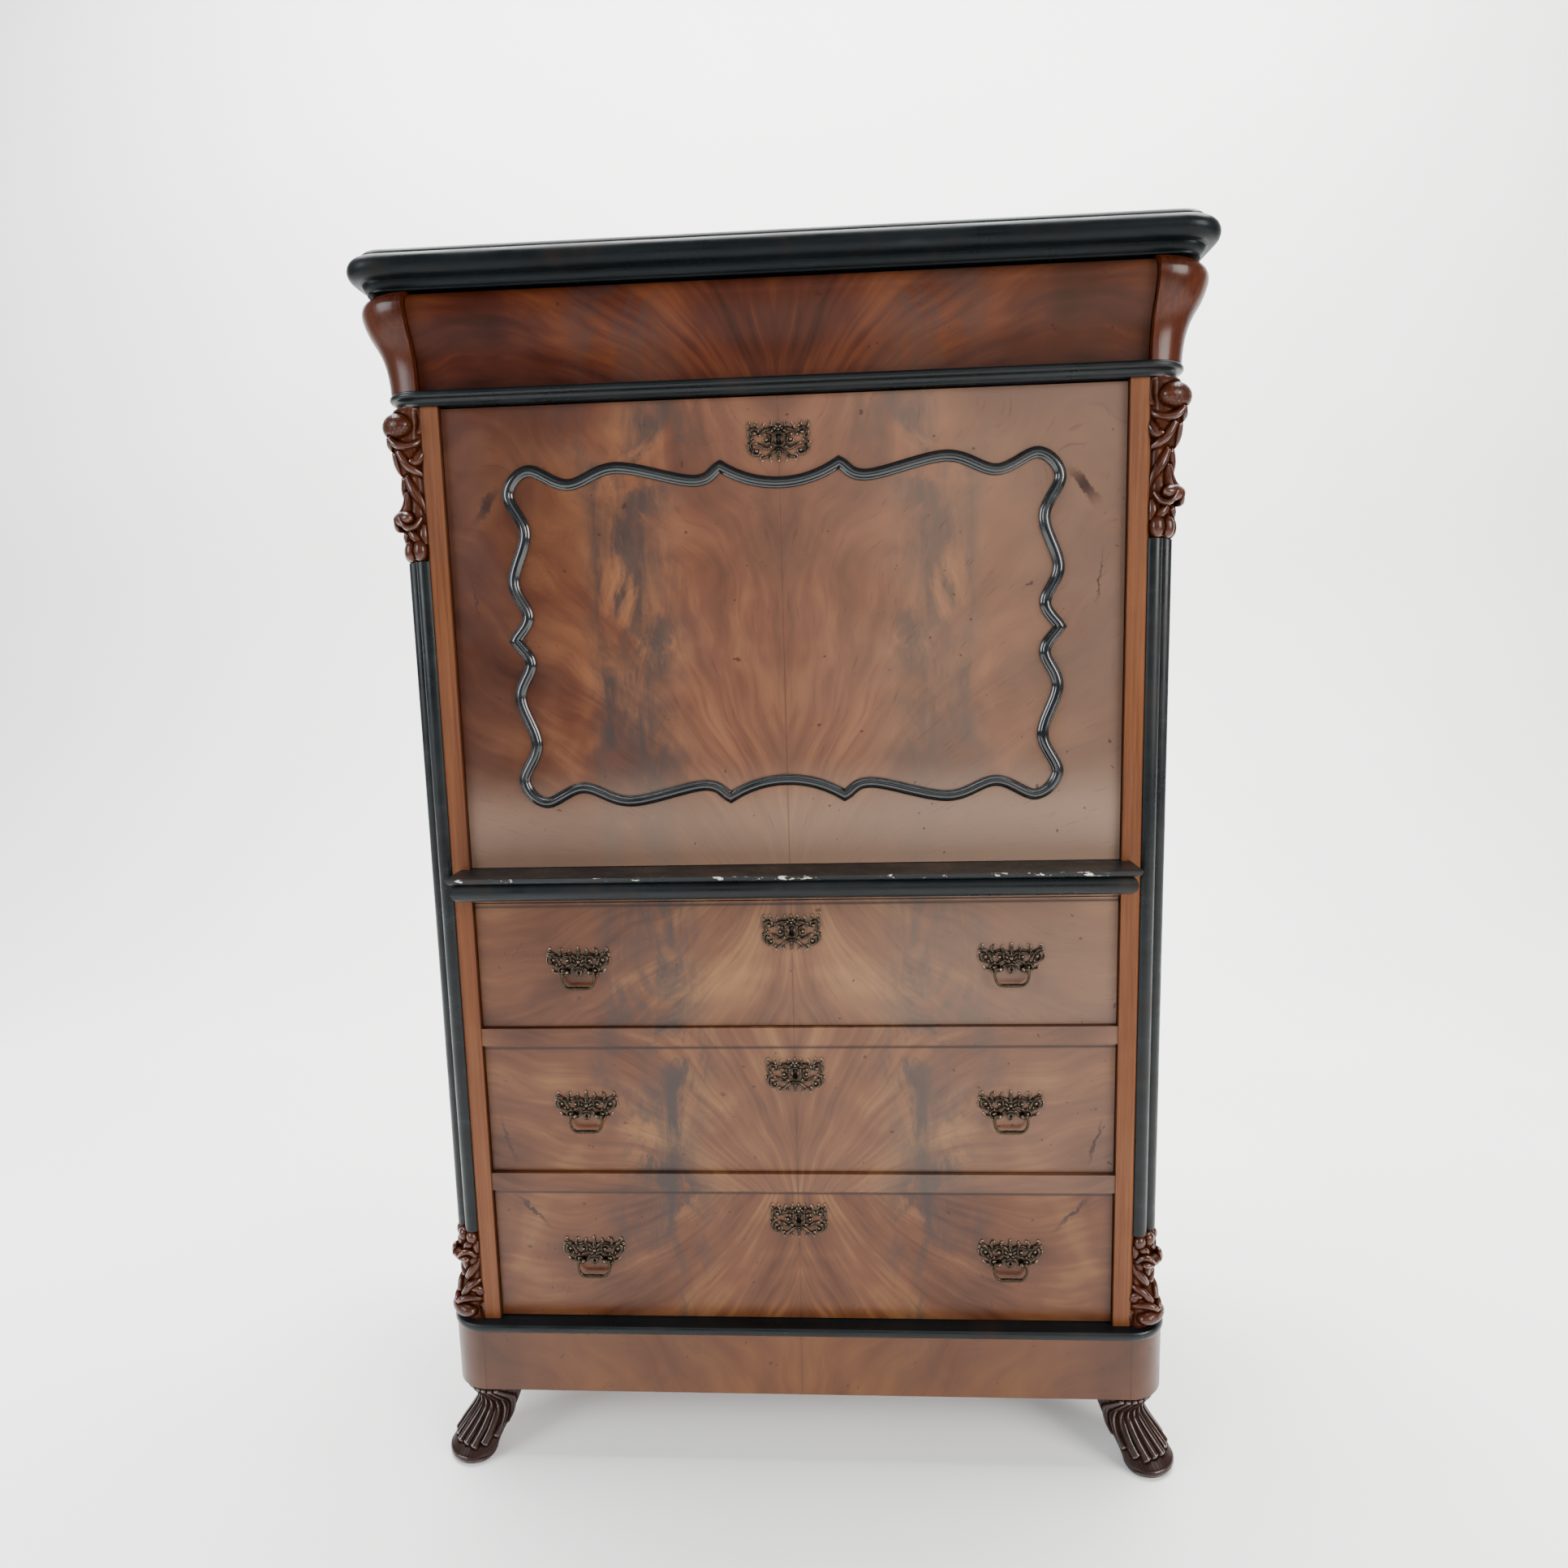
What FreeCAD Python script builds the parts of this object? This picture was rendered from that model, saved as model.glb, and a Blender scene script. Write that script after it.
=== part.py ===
"""Fall-front secretary desk in flame mahogany with ebonised mouldings.

A case of three drawers carries a fall front that opens into a writing bed and a fitted gallery. Above
the fall front is a frieze with a hidden drawer, and on top a moulded crown. The two front corners are
canted at 45 degrees and carry reeded half columns with a carved scroll at each end. The desk stands on
two carved scroll feet in front and two plain feet behind.

Millimetres, +Z up, front towards -Y, origin on the floor at the centre of the desk's plan.
Depths are measured back from the plane of the front stiles, so what stands out in front is negative.
"""
import FreeCAD
import Part

import math
import os

from FreeCAD import Vector

# ---------------------------------------------------------------- driving dimensions
HEIGHT = 1608.0
DEPTH = 500.0  # from the waist moulding's front edge to the back
WAIST_PROJECTION = 60.0  # how far the waist moulding stands out from the stiles
STILE_PLANE = -DEPTH / 2 + WAIST_PROJECTION  # Y of the stiles' front face
BACK = DEPTH - WAIST_PROJECTION  # depth of the case behind the stiles' face

BODY_HALF = 479.0  # half width of the case over its sides
OPENING_HALF = 420.5  # half width between the stiles
STILE_EDGE = 442.0  # where a stile ends and the canted corner starts
SIDE_THICKNESS = 22.0
SIDE_INNER = BODY_HALF - SIDE_THICKNESS
BACK_THICKNESS = 12.0
BACK_INNER = BACK - BACK_THICKNESS

# the mouldings turn the front corners on quarter circles about these plan centres (x, depth)
CASE_CORNER = (STILE_EDGE, BODY_HALF - STILE_EDGE)
CROWN_CORNER = (470.0, 8.0)
R_CROWN = 50.0
R_BEAD = 49.0
R_PLINTH = 51.0
R_BASE_BEAD = 53.5
BASE_BEAD_ROUND = 2.0  # how far the bead swells beyond its edges
CANT = CASE_CORNER[1] / math.sqrt(2)  # the canted face's distance out from the corner centre

# the frieze's ogee: radius about the case corner, and drop below the crown
FRIEZE_PROFILE = (
    (52, 0), (64, 4), (72, 11), (74, 19), (71.5, 31), (65.5, 45), (57, 60), (50.5, 78), (47.5, 96))
FRIEZE_FOOT = 46.5
FRIEZE_SIDE_SET_BACK = 3.0
FRIEZE_DRAWER_SET_BACK = 11.0
FRIEZE_DRAWER_INNER_R = 15.0  # of the drawer front's inner face
FRIEZE_GUIDE_RISE = 30.0
FRIEZE_BOTTOM_RISE = 4.0  # of its drawer's bottom board above the box's lower edge
SIDE_CLEARANCE = 2.0

# levels above the floor
FOOT_TOP = 108.0
PLINTH_TOP = 195.0
BASE_TOP = 206.0
CASE_TOP = 1430.0
FRIEZE_BOTTOM = 1447.0
CROWN_BOTTOM = 1560.0
TOP_BOARD = 20.0
DRAWER_LEVELS = {1: (627.0, 799.0), 2: (421.0, 603.0), 3: (206.0, 396.0)}
WAIST_BOTTOM = 815.0
WAIST_TOP = 846.0
FLAP_RAIL_TOP = 842.0
COLUMN_LOW = 336.0
COLUMN_HIGH = 1243.0

# carved brackets on the canted corners: height, half width and depth of relief
TOP_SCROLL = (
    (COLUMN_HIGH, 21, 15), (1262, 24, 21), (1297, 24, 28), (1330, 22, 20), (1362, 24, 22),
    (1388, 26, 32), (1408, 26, 36), (1424, 25, 30), (CASE_TOP, 24, 26))
BOTTOM_SCROLL = (
    (BASE_TOP, 24, 26), (216, 25, 31), (232, 25, 30), (258, 22, 19), (282, 23, 22),
    (304, 24, 28), (322, 22, 22), (COLUMN_LOW, 20, 14))
REED_HALF_PAIR = 23.0
REED_BED = 2.0  # above the canted face
REED_CREST = 12.0

# front feet: height, centre's distance out from the case corner, half size out and half size across
FOOT_SECTIONS = (
    (0, 44, 31, 38), (8, 45, 36, 42), (22, 38, 36, 43), (42, 18, 32, 41),
    (62, -2, 29, 38), (80, -4, 33, 42), (94, 1, 42, 50), (FOOT_TOP, 2, 45, 52))
BACK_FOOT_INSET = (20.0, 28.0)  # of its middle, from the case's side and back
BACK_FOOT_HALVES = (19.0, 26.0)  # at the floor and at its top

# fronts stand back from the stiles by RECESS, with a GAP round each
RECESS = 8.0
FRONT_THICKNESS = 22.0
FRONT_BACK = RECESS + FRONT_THICKNESS
POST_DEPTH = 40.0
RAIL_DEPTH = 62.0
GAP = 1.2
PLINTH_BOARD = 22.0
GLUE_BLOCK_TOP = 160.0
GLUE_BLOCK_WIDTH = 60.0
GLUE_BLOCK_DEPTH = 70.0
STILE_BEVEL = 3.0
WAIST_HALF = 431.0  # to the waist moulding's returned ends
RUNNER = 20.0
RUNNER_WIDTH = 18.0
GUIDE_RISE = 24.0
DRAWER_SIDE = 12.0
DRAWER_LENGTH = 400.0
THIN_BOTTOM = 7.0
BOTTOM_RISE = 6.0  # of a drawer's bottom board above its box's lower edge
BOX_CLEARANCE = 3.5  # between a drawer's side and its opening
BOX_DROP = 14.0  # of a drawer's rim below its opening's top
SOLE = 0.5  # a drawer box's height above what it runs on

# back: framed panels below, plain boards behind the frieze and the crown
BACK_STILE = 70.0
BACK_RAIL = 60.0
BACK_MUNTIN_HALF = 35.0
BACK_MIDDLE = 830.0
UPPER_BACK = 18.0

# the fall front and its pivots
FLAP_HALF = OPENING_HALF - 1.0
FLAP_BOTTOM = WAIST_TOP + 0.5
FLAP_TOP = CASE_TOP - 2.0
PIVOT_DEPTH = RECESS + FRONT_THICKNESS / 2
PIVOT_Z = FLAP_BOTTOM + 18.5
PIVOT_R = 4.0
PIVOT_REACH = 12.5  # of a pivot into its bush
BUSH_R = 7.0
RUNNING_CLEARANCE = 0.05
BED_TOP = PIVOT_Z + FRONT_THICKNESS / 2
BED_BOTTOM = BED_TOP - 22.0
BED_FRONT = 41.0
STAY_RADIUS = 150.0
STAY_X = 412.0
STAY_THICKNESS = 3.0
STAY_TAIL = math.radians(10.0)  # how far the stay's tail lies below the level of the pivot
PEG_R = 3.0
STAY_HALF_WIDTH = 6.0
STOP_HALF_HEIGHT = 9.0
BED_SLOT_HALF = 12.0
PIVOT_HELD = 30.0  # length of a pivot inside the fall front
FLAP_NOSE_R = 10.0  # rounding of the fall front's lower inner edge
LEATHER_HALF = 330.0
LEATHER_LEVELS = (930.0, 1330.0)
LEATHER = 1.5

# serpentine moulding on the fall front: places in the upper right quarter, x from the centre line and
# height above the moulding's middle, from the top cusp round the corner to the side cusp
FRAME_MIDDLE_Z = 1141.0
FRAME_ARCH = (0.0, 184.5)
FRAME_TOP_CUSP = (73.0, 206.0)
FRAME_WAVES = [(107.0, 190.0), (203.0, 209.0), (264.0, 190.5), (314.0, 209.0), (341.0, 181.0),
               (322.0, 133.0), (340.0, 73.0), (324.0, 30.0)]
FRAME_SIDE_CUSP = (342.0, 0.0)
FRAME_WIDTH = 14.0
FRAME_PROUD = 6.5
FRAME_SPILL = 3.0  # each length runs on past its ends, to meet the next in a mitre

# the gallery behind the fall front
GALLERY_HALF = 408.0
GALLERY_FRONT = 150.0
GALLERY_BACK = 420.0
BOARD = 10.0
NICHE_HALF = 125.0
NICHE_TOP = 1290.0
NICHE_RISE = 45.0
SMALL_DRAWER = 84.0  # height of one small drawer's space
SMALL_CLEARANCE = 0.6
THIN_BOARD = 6.0
SMALL_RIM_DROP = 8.0
KNOB_R = 6.0
KNOB_NECK = 2.5
KNOB_STAND = 8.0
ARCH_CROWN = 8.0  # the niche's arch at its middle, below the shelf
SHELF_SET_BACK = 20.0

# brass
PULL_X = 284.0
PULL_RISE = 4.0  # pull centre above the middle of its drawer
ESCUTCHEON_DROP = 44.0  # escutcheon centre below the drawer's top edge
FLAP_ESCUTCHEON_DROP = 54.0
PLATE = 2.5
PULL_PLATE = (43.5, 22.0)
ESCUTCHEON = (40.0, 25.5)
BAIL_R = 2.0
BAIL_PIN_R = 1.5
BAIL_HALF = 21.0
BAIL_DROP = 21.0
BAIL_BEND = 12.0
BAIL_PIVOT_DROP = 12.0  # bail pivot below the pull's centre
BAIL_STAND = 8.5  # bail pivot in front of the drawer's face
BOSS_R = 3.2
BOSS_X = 15.0
LOCK_HALF = 35.0
LOCK_HEIGHT = 70.0
LOCK_DEPTH = 11.0
BOLT_HALF = 9.0
BOLT_DEPTHS = (22.5, 27.5)
BOLT_LENGTH = 24.0
BOLT_ROOM = 0.4
MORTISE = 12.0
MORTISE_SPARE_WIDTH = 3.0
MORTISE_SPARE_DEPTH = 2.0
KEYHOLE_R = 3.2
KEY_SLOT_HALF = 1.6
KEY_SLOT_DROP = 10.0
PULL_LOBES = 10
ESCUTCHEON_LOBES = 8
LOBE_DEPTH = 0.06  # of a plate's wavy edge, as a share of its size

UP = Vector(0, 0, 1)
RIGHT = Vector(1, 0, 0)
INWARD = Vector(0, 1, 0)


# ---------------------------------------------------------------- helpers
def at(x, depth, z):
    """A point from its x, its depth behind the stiles' face and its height."""
    return Vector(x, STILE_PLANE + depth, z)


def box(x0, x1, d0, d1, z0, z1):
    return Part.makeBox(x1 - x0, d1 - d0, z1 - z0, at(x0, d0, z0))


def both(shape):
    """A right-hand piece and its mirror image on the left."""
    return [shape, shape.mirror(Vector(0, 0, 0), RIGHT)]


def line(a, b):
    return Part.LineSegment(a, b).toShape()


def arc(a, b, c):
    return Part.Arc(a, b, c).toShape()


def spline(points):
    curve = Part.BSplineCurve()
    curve.interpolate(points)
    return curve.toShape()


def polygon(points):
    return Part.Face(Part.makePolygon(points + [points[0]]))


def cylinder(x, depth, z, radius, length, direction):
    return Part.makeCylinder(radius, length, at(x, depth, z), direction)


def corner_point(across, out, z):
    """A point at the right front corner: across runs along the canted face, out away from the case."""
    x, depth = CASE_CORNER
    return at(x + (out + across) / math.sqrt(2), depth + (across - out) / math.sqrt(2), z)


def save(name, *shapes):
    solids = []
    for shape in shapes:
        solids.extend(shape if isinstance(shape, list) else [shape])
    result = solids[0] if len(solids) == 1 else Part.makeCompound(solids)
    if not result.isValid():
        print("not valid:", name)
    result.exportStep(os.path.join("parts", name + ".step"))


def section(centre, outline, z0, z1, r_inner):
    """Upright cross-section of a moulding, standing to the right of its corner centre.

    outline(p) gives the edges of the moulded side from top to bottom, where p(r, z) is a point at
    radius r. Level lines back to r_inner close the section.
    """
    x, depth = centre

    def p(r, z):
        return at(x + r, depth, z)
    edges = outline(p)
    top = edges[0].firstVertex(True).Point
    low = edges[-1].lastVertex(True).Point
    closing = [line(low, p(r_inner, z0)), line(p(r_inner, z0), p(r_inner, z1)), line(p(r_inner, z1), top)]
    return Part.Face(Part.Wire(edges + closing))


def front_run(centre, outline, z0, z1, r_inner=0.0, half=None):
    """The moulding along the front, between the two corner centres unless half says otherwise."""
    x, depth = centre
    half = x if half is None else half
    face = section(centre, outline, z0, z1, r_inner)
    face.rotate(at(x, depth, 0), UP, -90)
    face.translate(Vector(half - x, 0, 0))
    return face.extrude(Vector(-2 * half, 0, 0))


def corner_runs(centre, outline, z0, z1):
    x, depth = centre
    return both(section(centre, outline, z0, z1, 0.0).revolve(at(x, depth, 0), UP, -90))


def side_runs(centre, outline, z0, z1, r_inner):
    face = section(centre, outline, z0, z1, r_inner)
    return both(face.extrude(Vector(0, BACK - centre[1], 0)))


# ---------------------------------------------------------------- base
def plinth_outline(p):
    return [line(p(R_PLINTH, PLINTH_TOP), p(R_PLINTH, FOOT_TOP))]


def plinth():
    half, depth = CASE_CORNER
    side_inner = half + R_PLINTH - PLINTH_BOARD
    front = box(-half, half, depth - R_PLINTH, depth - R_PLINTH + PLINTH_BOARD, FOOT_TOP, PLINTH_TOP)
    corners = corner_runs(CASE_CORNER, plinth_outline, FOOT_TOP, PLINTH_TOP)
    sides = side_runs(CASE_CORNER, plinth_outline, FOOT_TOP, PLINTH_TOP, side_inner - half)
    back = box(-side_inner, side_inner, BACK - PLINTH_BOARD, BACK, FOOT_TOP, PLINTH_TOP)
    block_front = 10.0
    rear = BACK - PLINTH_BOARD
    d0, d1 = block_front, block_front + GLUE_BLOCK_DEPTH
    front_blocks = both(box(half - GLUE_BLOCK_WIDTH, half, d0, d1, FOOT_TOP, GLUE_BLOCK_TOP))
    d0, d1 = rear - GLUE_BLOCK_DEPTH, rear
    back_blocks = both(box(side_inner - GLUE_BLOCK_WIDTH, side_inner, d0, d1, FOOT_TOP, GLUE_BLOCK_TOP))
    save("plinth", front, corners, sides, back, front_blocks, back_blocks)


def base_bead_outline(p):
    edge = R_BASE_BEAD - BASE_BEAD_ROUND
    return [arc(p(edge, BASE_TOP), p(R_BASE_BEAD, (PLINTH_TOP + BASE_TOP) / 2), p(edge, PLINTH_TOP))]


def base_bead():
    run = (CASE_CORNER, base_bead_outline, PLINTH_TOP, BASE_TOP)
    save("base_bead", front_run(*run), corner_runs(*run), side_runs(*run, SIDE_INNER - CASE_CORNER[0]))


def front_feet():
    """A neck under the plinth's corner that swells out into a toe along the diagonal."""
    wires = []
    for z, out, half_out, half_across in FOOT_SECTIONS:
        ellipse = Part.Ellipse(
            corner_point(half_across, out, z), corner_point(0, out + half_out, z), corner_point(0, out, z))
        wires.append(Part.Wire(ellipse.toShape()))
    save("feet_front", both(Part.makeLoft(wires, True, False)))


def back_feet():
    x, d = BODY_HALF - BACK_FOOT_INSET[0], BACK - BACK_FOOT_INSET[1]
    low, high = BACK_FOOT_HALVES

    def square(half, z):
        return Part.makePolygon([at(x + sx * half, d + sd * half, z) for sx, sd in
                                 ((-1, -1), (1, -1), (1, 1), (-1, 1), (-1, -1))])
    save("feet_back", both(Part.makeLoft([square(low, 0), square(high, FOOT_TOP)], True, True)))


# ---------------------------------------------------------------- case
def side_panels():
    save("side_panels", both(box(SIDE_INNER, BODY_HALF, CASE_CORNER[1], BACK, BASE_TOP, CASE_TOP)))


def corner_posts():
    """Posts canted at 45 degrees, faced by the stiles and bored for the bushes of the pivots."""
    bevel = STILE_BEVEL
    rise = Vector(0, 0, CASE_TOP - BASE_TOP)
    plan = [(OPENING_HALF, bevel), (STILE_EDGE + bevel, bevel), (BODY_HALF, CASE_CORNER[1]),
            (SIDE_INNER, CASE_CORNER[1]), (SIDE_INNER, POST_DEPTH), (OPENING_HALF, POST_DEPTH)]
    post = polygon([at(x, d, BASE_TOP) for x, d in plan]).extrude(rise)
    stile_plan = [(OPENING_HALF, 0), (STILE_EDGE, 0), (STILE_EDGE + bevel, bevel), (OPENING_HALF, bevel)]
    stile = polygon([at(x, d, BASE_TOP) for x, d in stile_plan]).extrude(rise)

    seat = cylinder(OPENING_HALF, PIVOT_DEPTH, PIVOT_Z, BUSH_R, PIVOT_REACH + 2, RIGHT)
    bore = cylinder(OPENING_HALF, PIVOT_DEPTH, PIVOT_Z, PIVOT_R + RUNNING_CLEARANCE, PIVOT_REACH + 0.5, RIGHT)
    save("corner_posts", both(post.cut(seat)))
    save("front_stiles", both(stile))
    save("pivot_bushes_and_stops", both(seat.cut(bore)), both(stay_stop()))


def stay_stop():
    """Small brass block that the peg of a quadrant stay meets when the fall front is level."""
    angle = math.pi / 2 + peg_angle()
    peg_depth = PIVOT_DEPTH + STAY_RADIUS * math.cos(angle)
    peg_z = PIVOT_Z + STAY_RADIUS * math.sin(angle)
    return box(STAY_X + STAY_THICKNESS + 0.5, OPENING_HALF, peg_depth - PEG_R - 4, peg_depth - PEG_R - 0.3,
               peg_z - STOP_HALF_HEIGHT, peg_z + STOP_HALF_HEIGHT)


def reeded_columns():
    """Two reeds side by side on each canted corner."""
    bed, crest, half = CANT + REED_BED, CANT + REED_CREST, REED_HALF_PAIR

    def p(across, out):
        return corner_point(across, out, COLUMN_LOW)
    outline = Part.Wire([
        line(p(-half, CANT), p(-half, bed)),
        arc(p(-half, bed), p(-half / 2, crest), p(0, bed)),
        arc(p(0, bed), p(half / 2, crest), p(half, bed)),
        line(p(half, bed), p(half, CANT)),
        line(p(half, CANT), p(-half, CANT)),
    ])
    save("reeded_columns", both(Part.Face(outline).extrude(Vector(0, 0, COLUMN_HIGH - COLUMN_LOW))))


def carved_scroll(name, sections):
    """A carved bracket on the canted corner; sections hold height, half width and depth of relief."""
    wires = []
    for z, half, relief in sections:
        low, high = corner_point(-half, CANT, z), corner_point(half, CANT, z)
        wires.append(Part.Wire([arc(low, corner_point(0, CANT + relief, z), high), line(high, low)]))
    save(name, both(Part.makeLoft(wires, True, False)))


def carved_scrolls():
    carved_scroll("carved_scrolls_top", TOP_SCROLL)
    carved_scroll("carved_scrolls_bottom", BOTTOM_SCROLL)


def mortise(z):
    """Hole for a lock's bolt, upwards from z."""
    d0, d1 = BOLT_DEPTHS
    half = BOLT_HALF + MORTISE_SPARE_WIDTH
    return box(-half, half, d0 - MORTISE_SPARE_DEPTH, d1 + MORTISE_SPARE_DEPTH, z, z + MORTISE)


def rails():
    """Drawer rails between the posts, and the rail that carries the fall front."""
    between = []
    for lower, upper in ((3, 2), (2, 1)):
        z0, z1 = DRAWER_LEVELS[lower][1], DRAWER_LEVELS[upper][0]
        between.append(box(-OPENING_HALF, OPENING_HALF, 2, RAIL_DEPTH, z0, z1).cut(mortise(z0)))
    save("drawer_rails", between)
    z0 = DRAWER_LEVELS[1][1]
    nose = box(-OPENING_HALF, OPENING_HALF, RECESS, BED_FRONT, z0, FLAP_RAIL_TOP).cut(mortise(z0))
    heel = box(-OPENING_HALF, OPENING_HALF, BED_FRONT, RAIL_DEPTH, z0, BED_BOTTOM)
    save("flap_rail", nose, heel)


def waist_moulding():
    """Black moulding under the fall front: a thin lip over a cove and a torus, returned at both ends."""
    length = 2 * BODY_HALF  # of the bar that the returned ends are cut from

    def outline(q):
        # q takes the distance back from the outermost edge and the distance below the top
        tip, lip, neck, belly, foot = q(0, 0), q(1, 3), q(11, 8), q(4.5, 19), q(12, 31)
        return [line(tip, lip), arc(lip, q(4, 6.8), neck), arc(neck, belly, foot)]

    def closed(edges, low, high):
        start, stop = edges[0].firstVertex(True).Point, edges[-1].lastVertex(True).Point
        return Part.Face(Part.Wire(edges + [line(stop, low), line(low, high), line(high, start)]))
    bar = closed(outline(lambda back, drop: at(-length / 2, back - WAIST_PROJECTION, WAIST_TOP - drop)),
                 at(-length / 2, 0, WAIST_BOTTOM), at(-length / 2, 0, WAIST_TOP))
    bar = bar.extrude(Vector(length, 0, 0))
    ends = closed(outline(lambda back, drop: at(WAIST_HALF - back, -WAIST_PROJECTION, WAIST_TOP - drop)),
                  at(0, -WAIST_PROJECTION, WAIST_BOTTOM), at(0, -WAIST_PROJECTION, WAIST_TOP))
    right, left = both(ends.extrude(Vector(0, WAIST_PROJECTION, 0)))
    tongue = box(-OPENING_HALF, OPENING_HALF, 0, RECESS, WAIST_BOTTOM, WAIST_TOP)
    save("waist_moulding", bar.common(right.fuse(left)).fuse(tongue).removeSplitter())


def drawer_runners():
    """Runners and side guides for the two upper drawers, and guides for the lowest one."""
    pieces = []
    guide = OPENING_HALF - 0.5
    inner = guide - RUNNER_WIDTH
    for number in (1, 2):
        z = DRAWER_LEVELS[number][0]
        pieces += both(box(inner, guide, RAIL_DEPTH, BACK_INNER, z - RUNNER, z))
        pieces += both(box(guide, SIDE_INNER, RAIL_DEPTH, BACK_INNER, z - RUNNER, z + GUIDE_RISE))
    z = DRAWER_LEVELS[3][0]
    pieces += both(box(guide, SIDE_INNER, POST_DEPTH, BACK_INNER, z, z + GUIDE_RISE))
    save("drawer_runners", pieces)


def case_boards():
    """The board under the lowest drawer and the board over the fall front's opening."""
    bottom = box(-SIDE_INNER, SIDE_INNER, POST_DEPTH, BACK_INNER, PLINTH_TOP, BASE_TOP)
    top = box(-SIDE_INNER, SIDE_INNER, POST_DEPTH, BACK_INNER, CASE_TOP, FRIEZE_BOTTOM)
    save("case_boards", bottom, top)


def back():
    """Frame and panels of the back, and the plain boards behind the frieze and the crown."""
    low, high, middle, rail = PLINTH_TOP, FRIEZE_BOTTOM, BACK_MIDDLE, BACK_RAIL
    inner = SIDE_INNER - BACK_STILE
    frame = both(box(inner, SIDE_INNER, BACK_INNER, BACK, low, high))
    for z in (low, middle - rail / 2, high - rail):
        frame.append(box(-inner, inner, BACK_INNER, BACK, z, z + rail))
    panels = []
    for z0, z1 in ((low + rail, middle - rail / 2), (middle + rail / 2, high - rail)):
        frame.append(box(-BACK_MUNTIN_HALF, BACK_MUNTIN_HALF, BACK_INNER, BACK, z0, z1))
        panels += both(box(BACK_MUNTIN_HALF, inner, BACK_INNER + 2, BACK - 4, z0, z1))
    half = CASE_CORNER[0]
    frieze_back = box(-SIDE_INNER, SIDE_INNER, BACK - UPPER_BACK, BACK, FRIEZE_BOTTOM, CROWN_BOTTOM)
    crown_back = box(-half, half, BACK - UPPER_BACK, BACK, CROWN_BOTTOM, HEIGHT - TOP_BOARD)
    save("back_frame", frame, frieze_back, crown_back)
    save("back_panels", panels)


def writing_bed():
    """The fixed part of the writing surface, with a slot at each end for the quadrant stays."""
    bed = box(-SIDE_INNER, SIDE_INNER, BED_FRONT, BACK_INNER, BED_BOTTOM, BED_TOP)
    reach = PIVOT_DEPTH + STAY_RADIUS
    d0, d1 = reach - BED_SLOT_HALF, reach + BED_SLOT_HALF
    for slot in both(box(STAY_X - 2, OPENING_HALF, d0, d1, BED_BOTTOM, BED_TOP)):
        bed = bed.cut(slot)
    save("writing_bed", bed)


# ---------------------------------------------------------------- frieze and crown
def frieze_outline(set_back):
    """Ogee of the frieze, full above and hollow below; FRIEZE_PROFILE holds radius and drop."""
    def outline(p):
        points = [p(r - set_back, CROWN_BOTTOM - drop) for r, drop in FRIEZE_PROFILE]
        return [spline(points + [p(FRIEZE_FOOT - set_back, FRIEZE_BOTTOM)])]
    return outline


def frieze():
    z0, z1 = FRIEZE_BOTTOM, CROWN_BOTTOM
    save("frieze_corners", corner_runs(CASE_CORNER, frieze_outline(0), z0, z1))
    side_outline = frieze_outline(FRIEZE_SIDE_SET_BACK)
    save("frieze_sides", side_runs(CASE_CORNER, side_outline, z0, z1, SIDE_INNER - CASE_CORNER[0]))


def frieze_drawer():
    """The hidden drawer: the frieze itself is its front."""
    z0, z1 = FRIEZE_BOTTOM, CROWN_BOTTOM
    half = CASE_CORNER[0] - GAP
    outline = frieze_outline(FRIEZE_DRAWER_SET_BACK)
    front = front_run(CASE_CORNER, outline, z0, z1, FRIEZE_DRAWER_INNER_R, half)
    gap_below, gap_above = 1.0, 1.5
    trim = box(-half, half, -RAIL_DEPTH, RAIL_DEPTH, z0 + gap_below, z1 - gap_above)
    save("frieze_drawer_front", front.common(trim))

    d0 = CASE_CORNER[1] - FRIEZE_DRAWER_INNER_R
    outer = half - SIDE_CLEARANCE
    inner = outer - DRAWER_SIDE
    low, high = z0 + SOLE, z1 - BOX_DROP
    board = low + FRIEZE_BOTTOM_RISE
    sides = both(box(inner, outer, d0, DRAWER_LENGTH, low, high))
    rear = box(-inner, inner, DRAWER_LENGTH - DRAWER_SIDE, DRAWER_LENGTH, low, high)
    bottom = box(-inner, inner, d0, DRAWER_LENGTH - DRAWER_SIDE, board, board + THIN_BOTTOM)
    save("frieze_drawer_box", sides, rear, bottom)
    guides = both(box(CASE_CORNER[0], SIDE_INNER, POST_DEPTH, GALLERY_BACK, z0, z0 + FRIEZE_GUIDE_RISE))
    save("frieze_drawer_guides", guides)


def frieze_bead_outline(p):
    z0, low = CASE_TOP, R_BEAD - 8.0
    neck = p(low + 5, z0 + 8.5)
    return [
        arc(p(low + 5, FRIEZE_BOTTOM), p(R_BEAD, z0 + 12.75), neck),
        arc(neck, p(low + 1.4, z0 + 6), p(low, z0 + 2)),
        line(p(low, z0 + 2), p(low, z0)),
    ]


def frieze_bead():
    run = (CASE_CORNER, frieze_bead_outline, CASE_TOP, FRIEZE_BOTTOM)
    front = front_run(*run).cut(mortise(CASE_TOP))
    save("frieze_bead", front, corner_runs(*run), side_runs(*run, SIDE_INNER - CASE_CORNER[0]))


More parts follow.
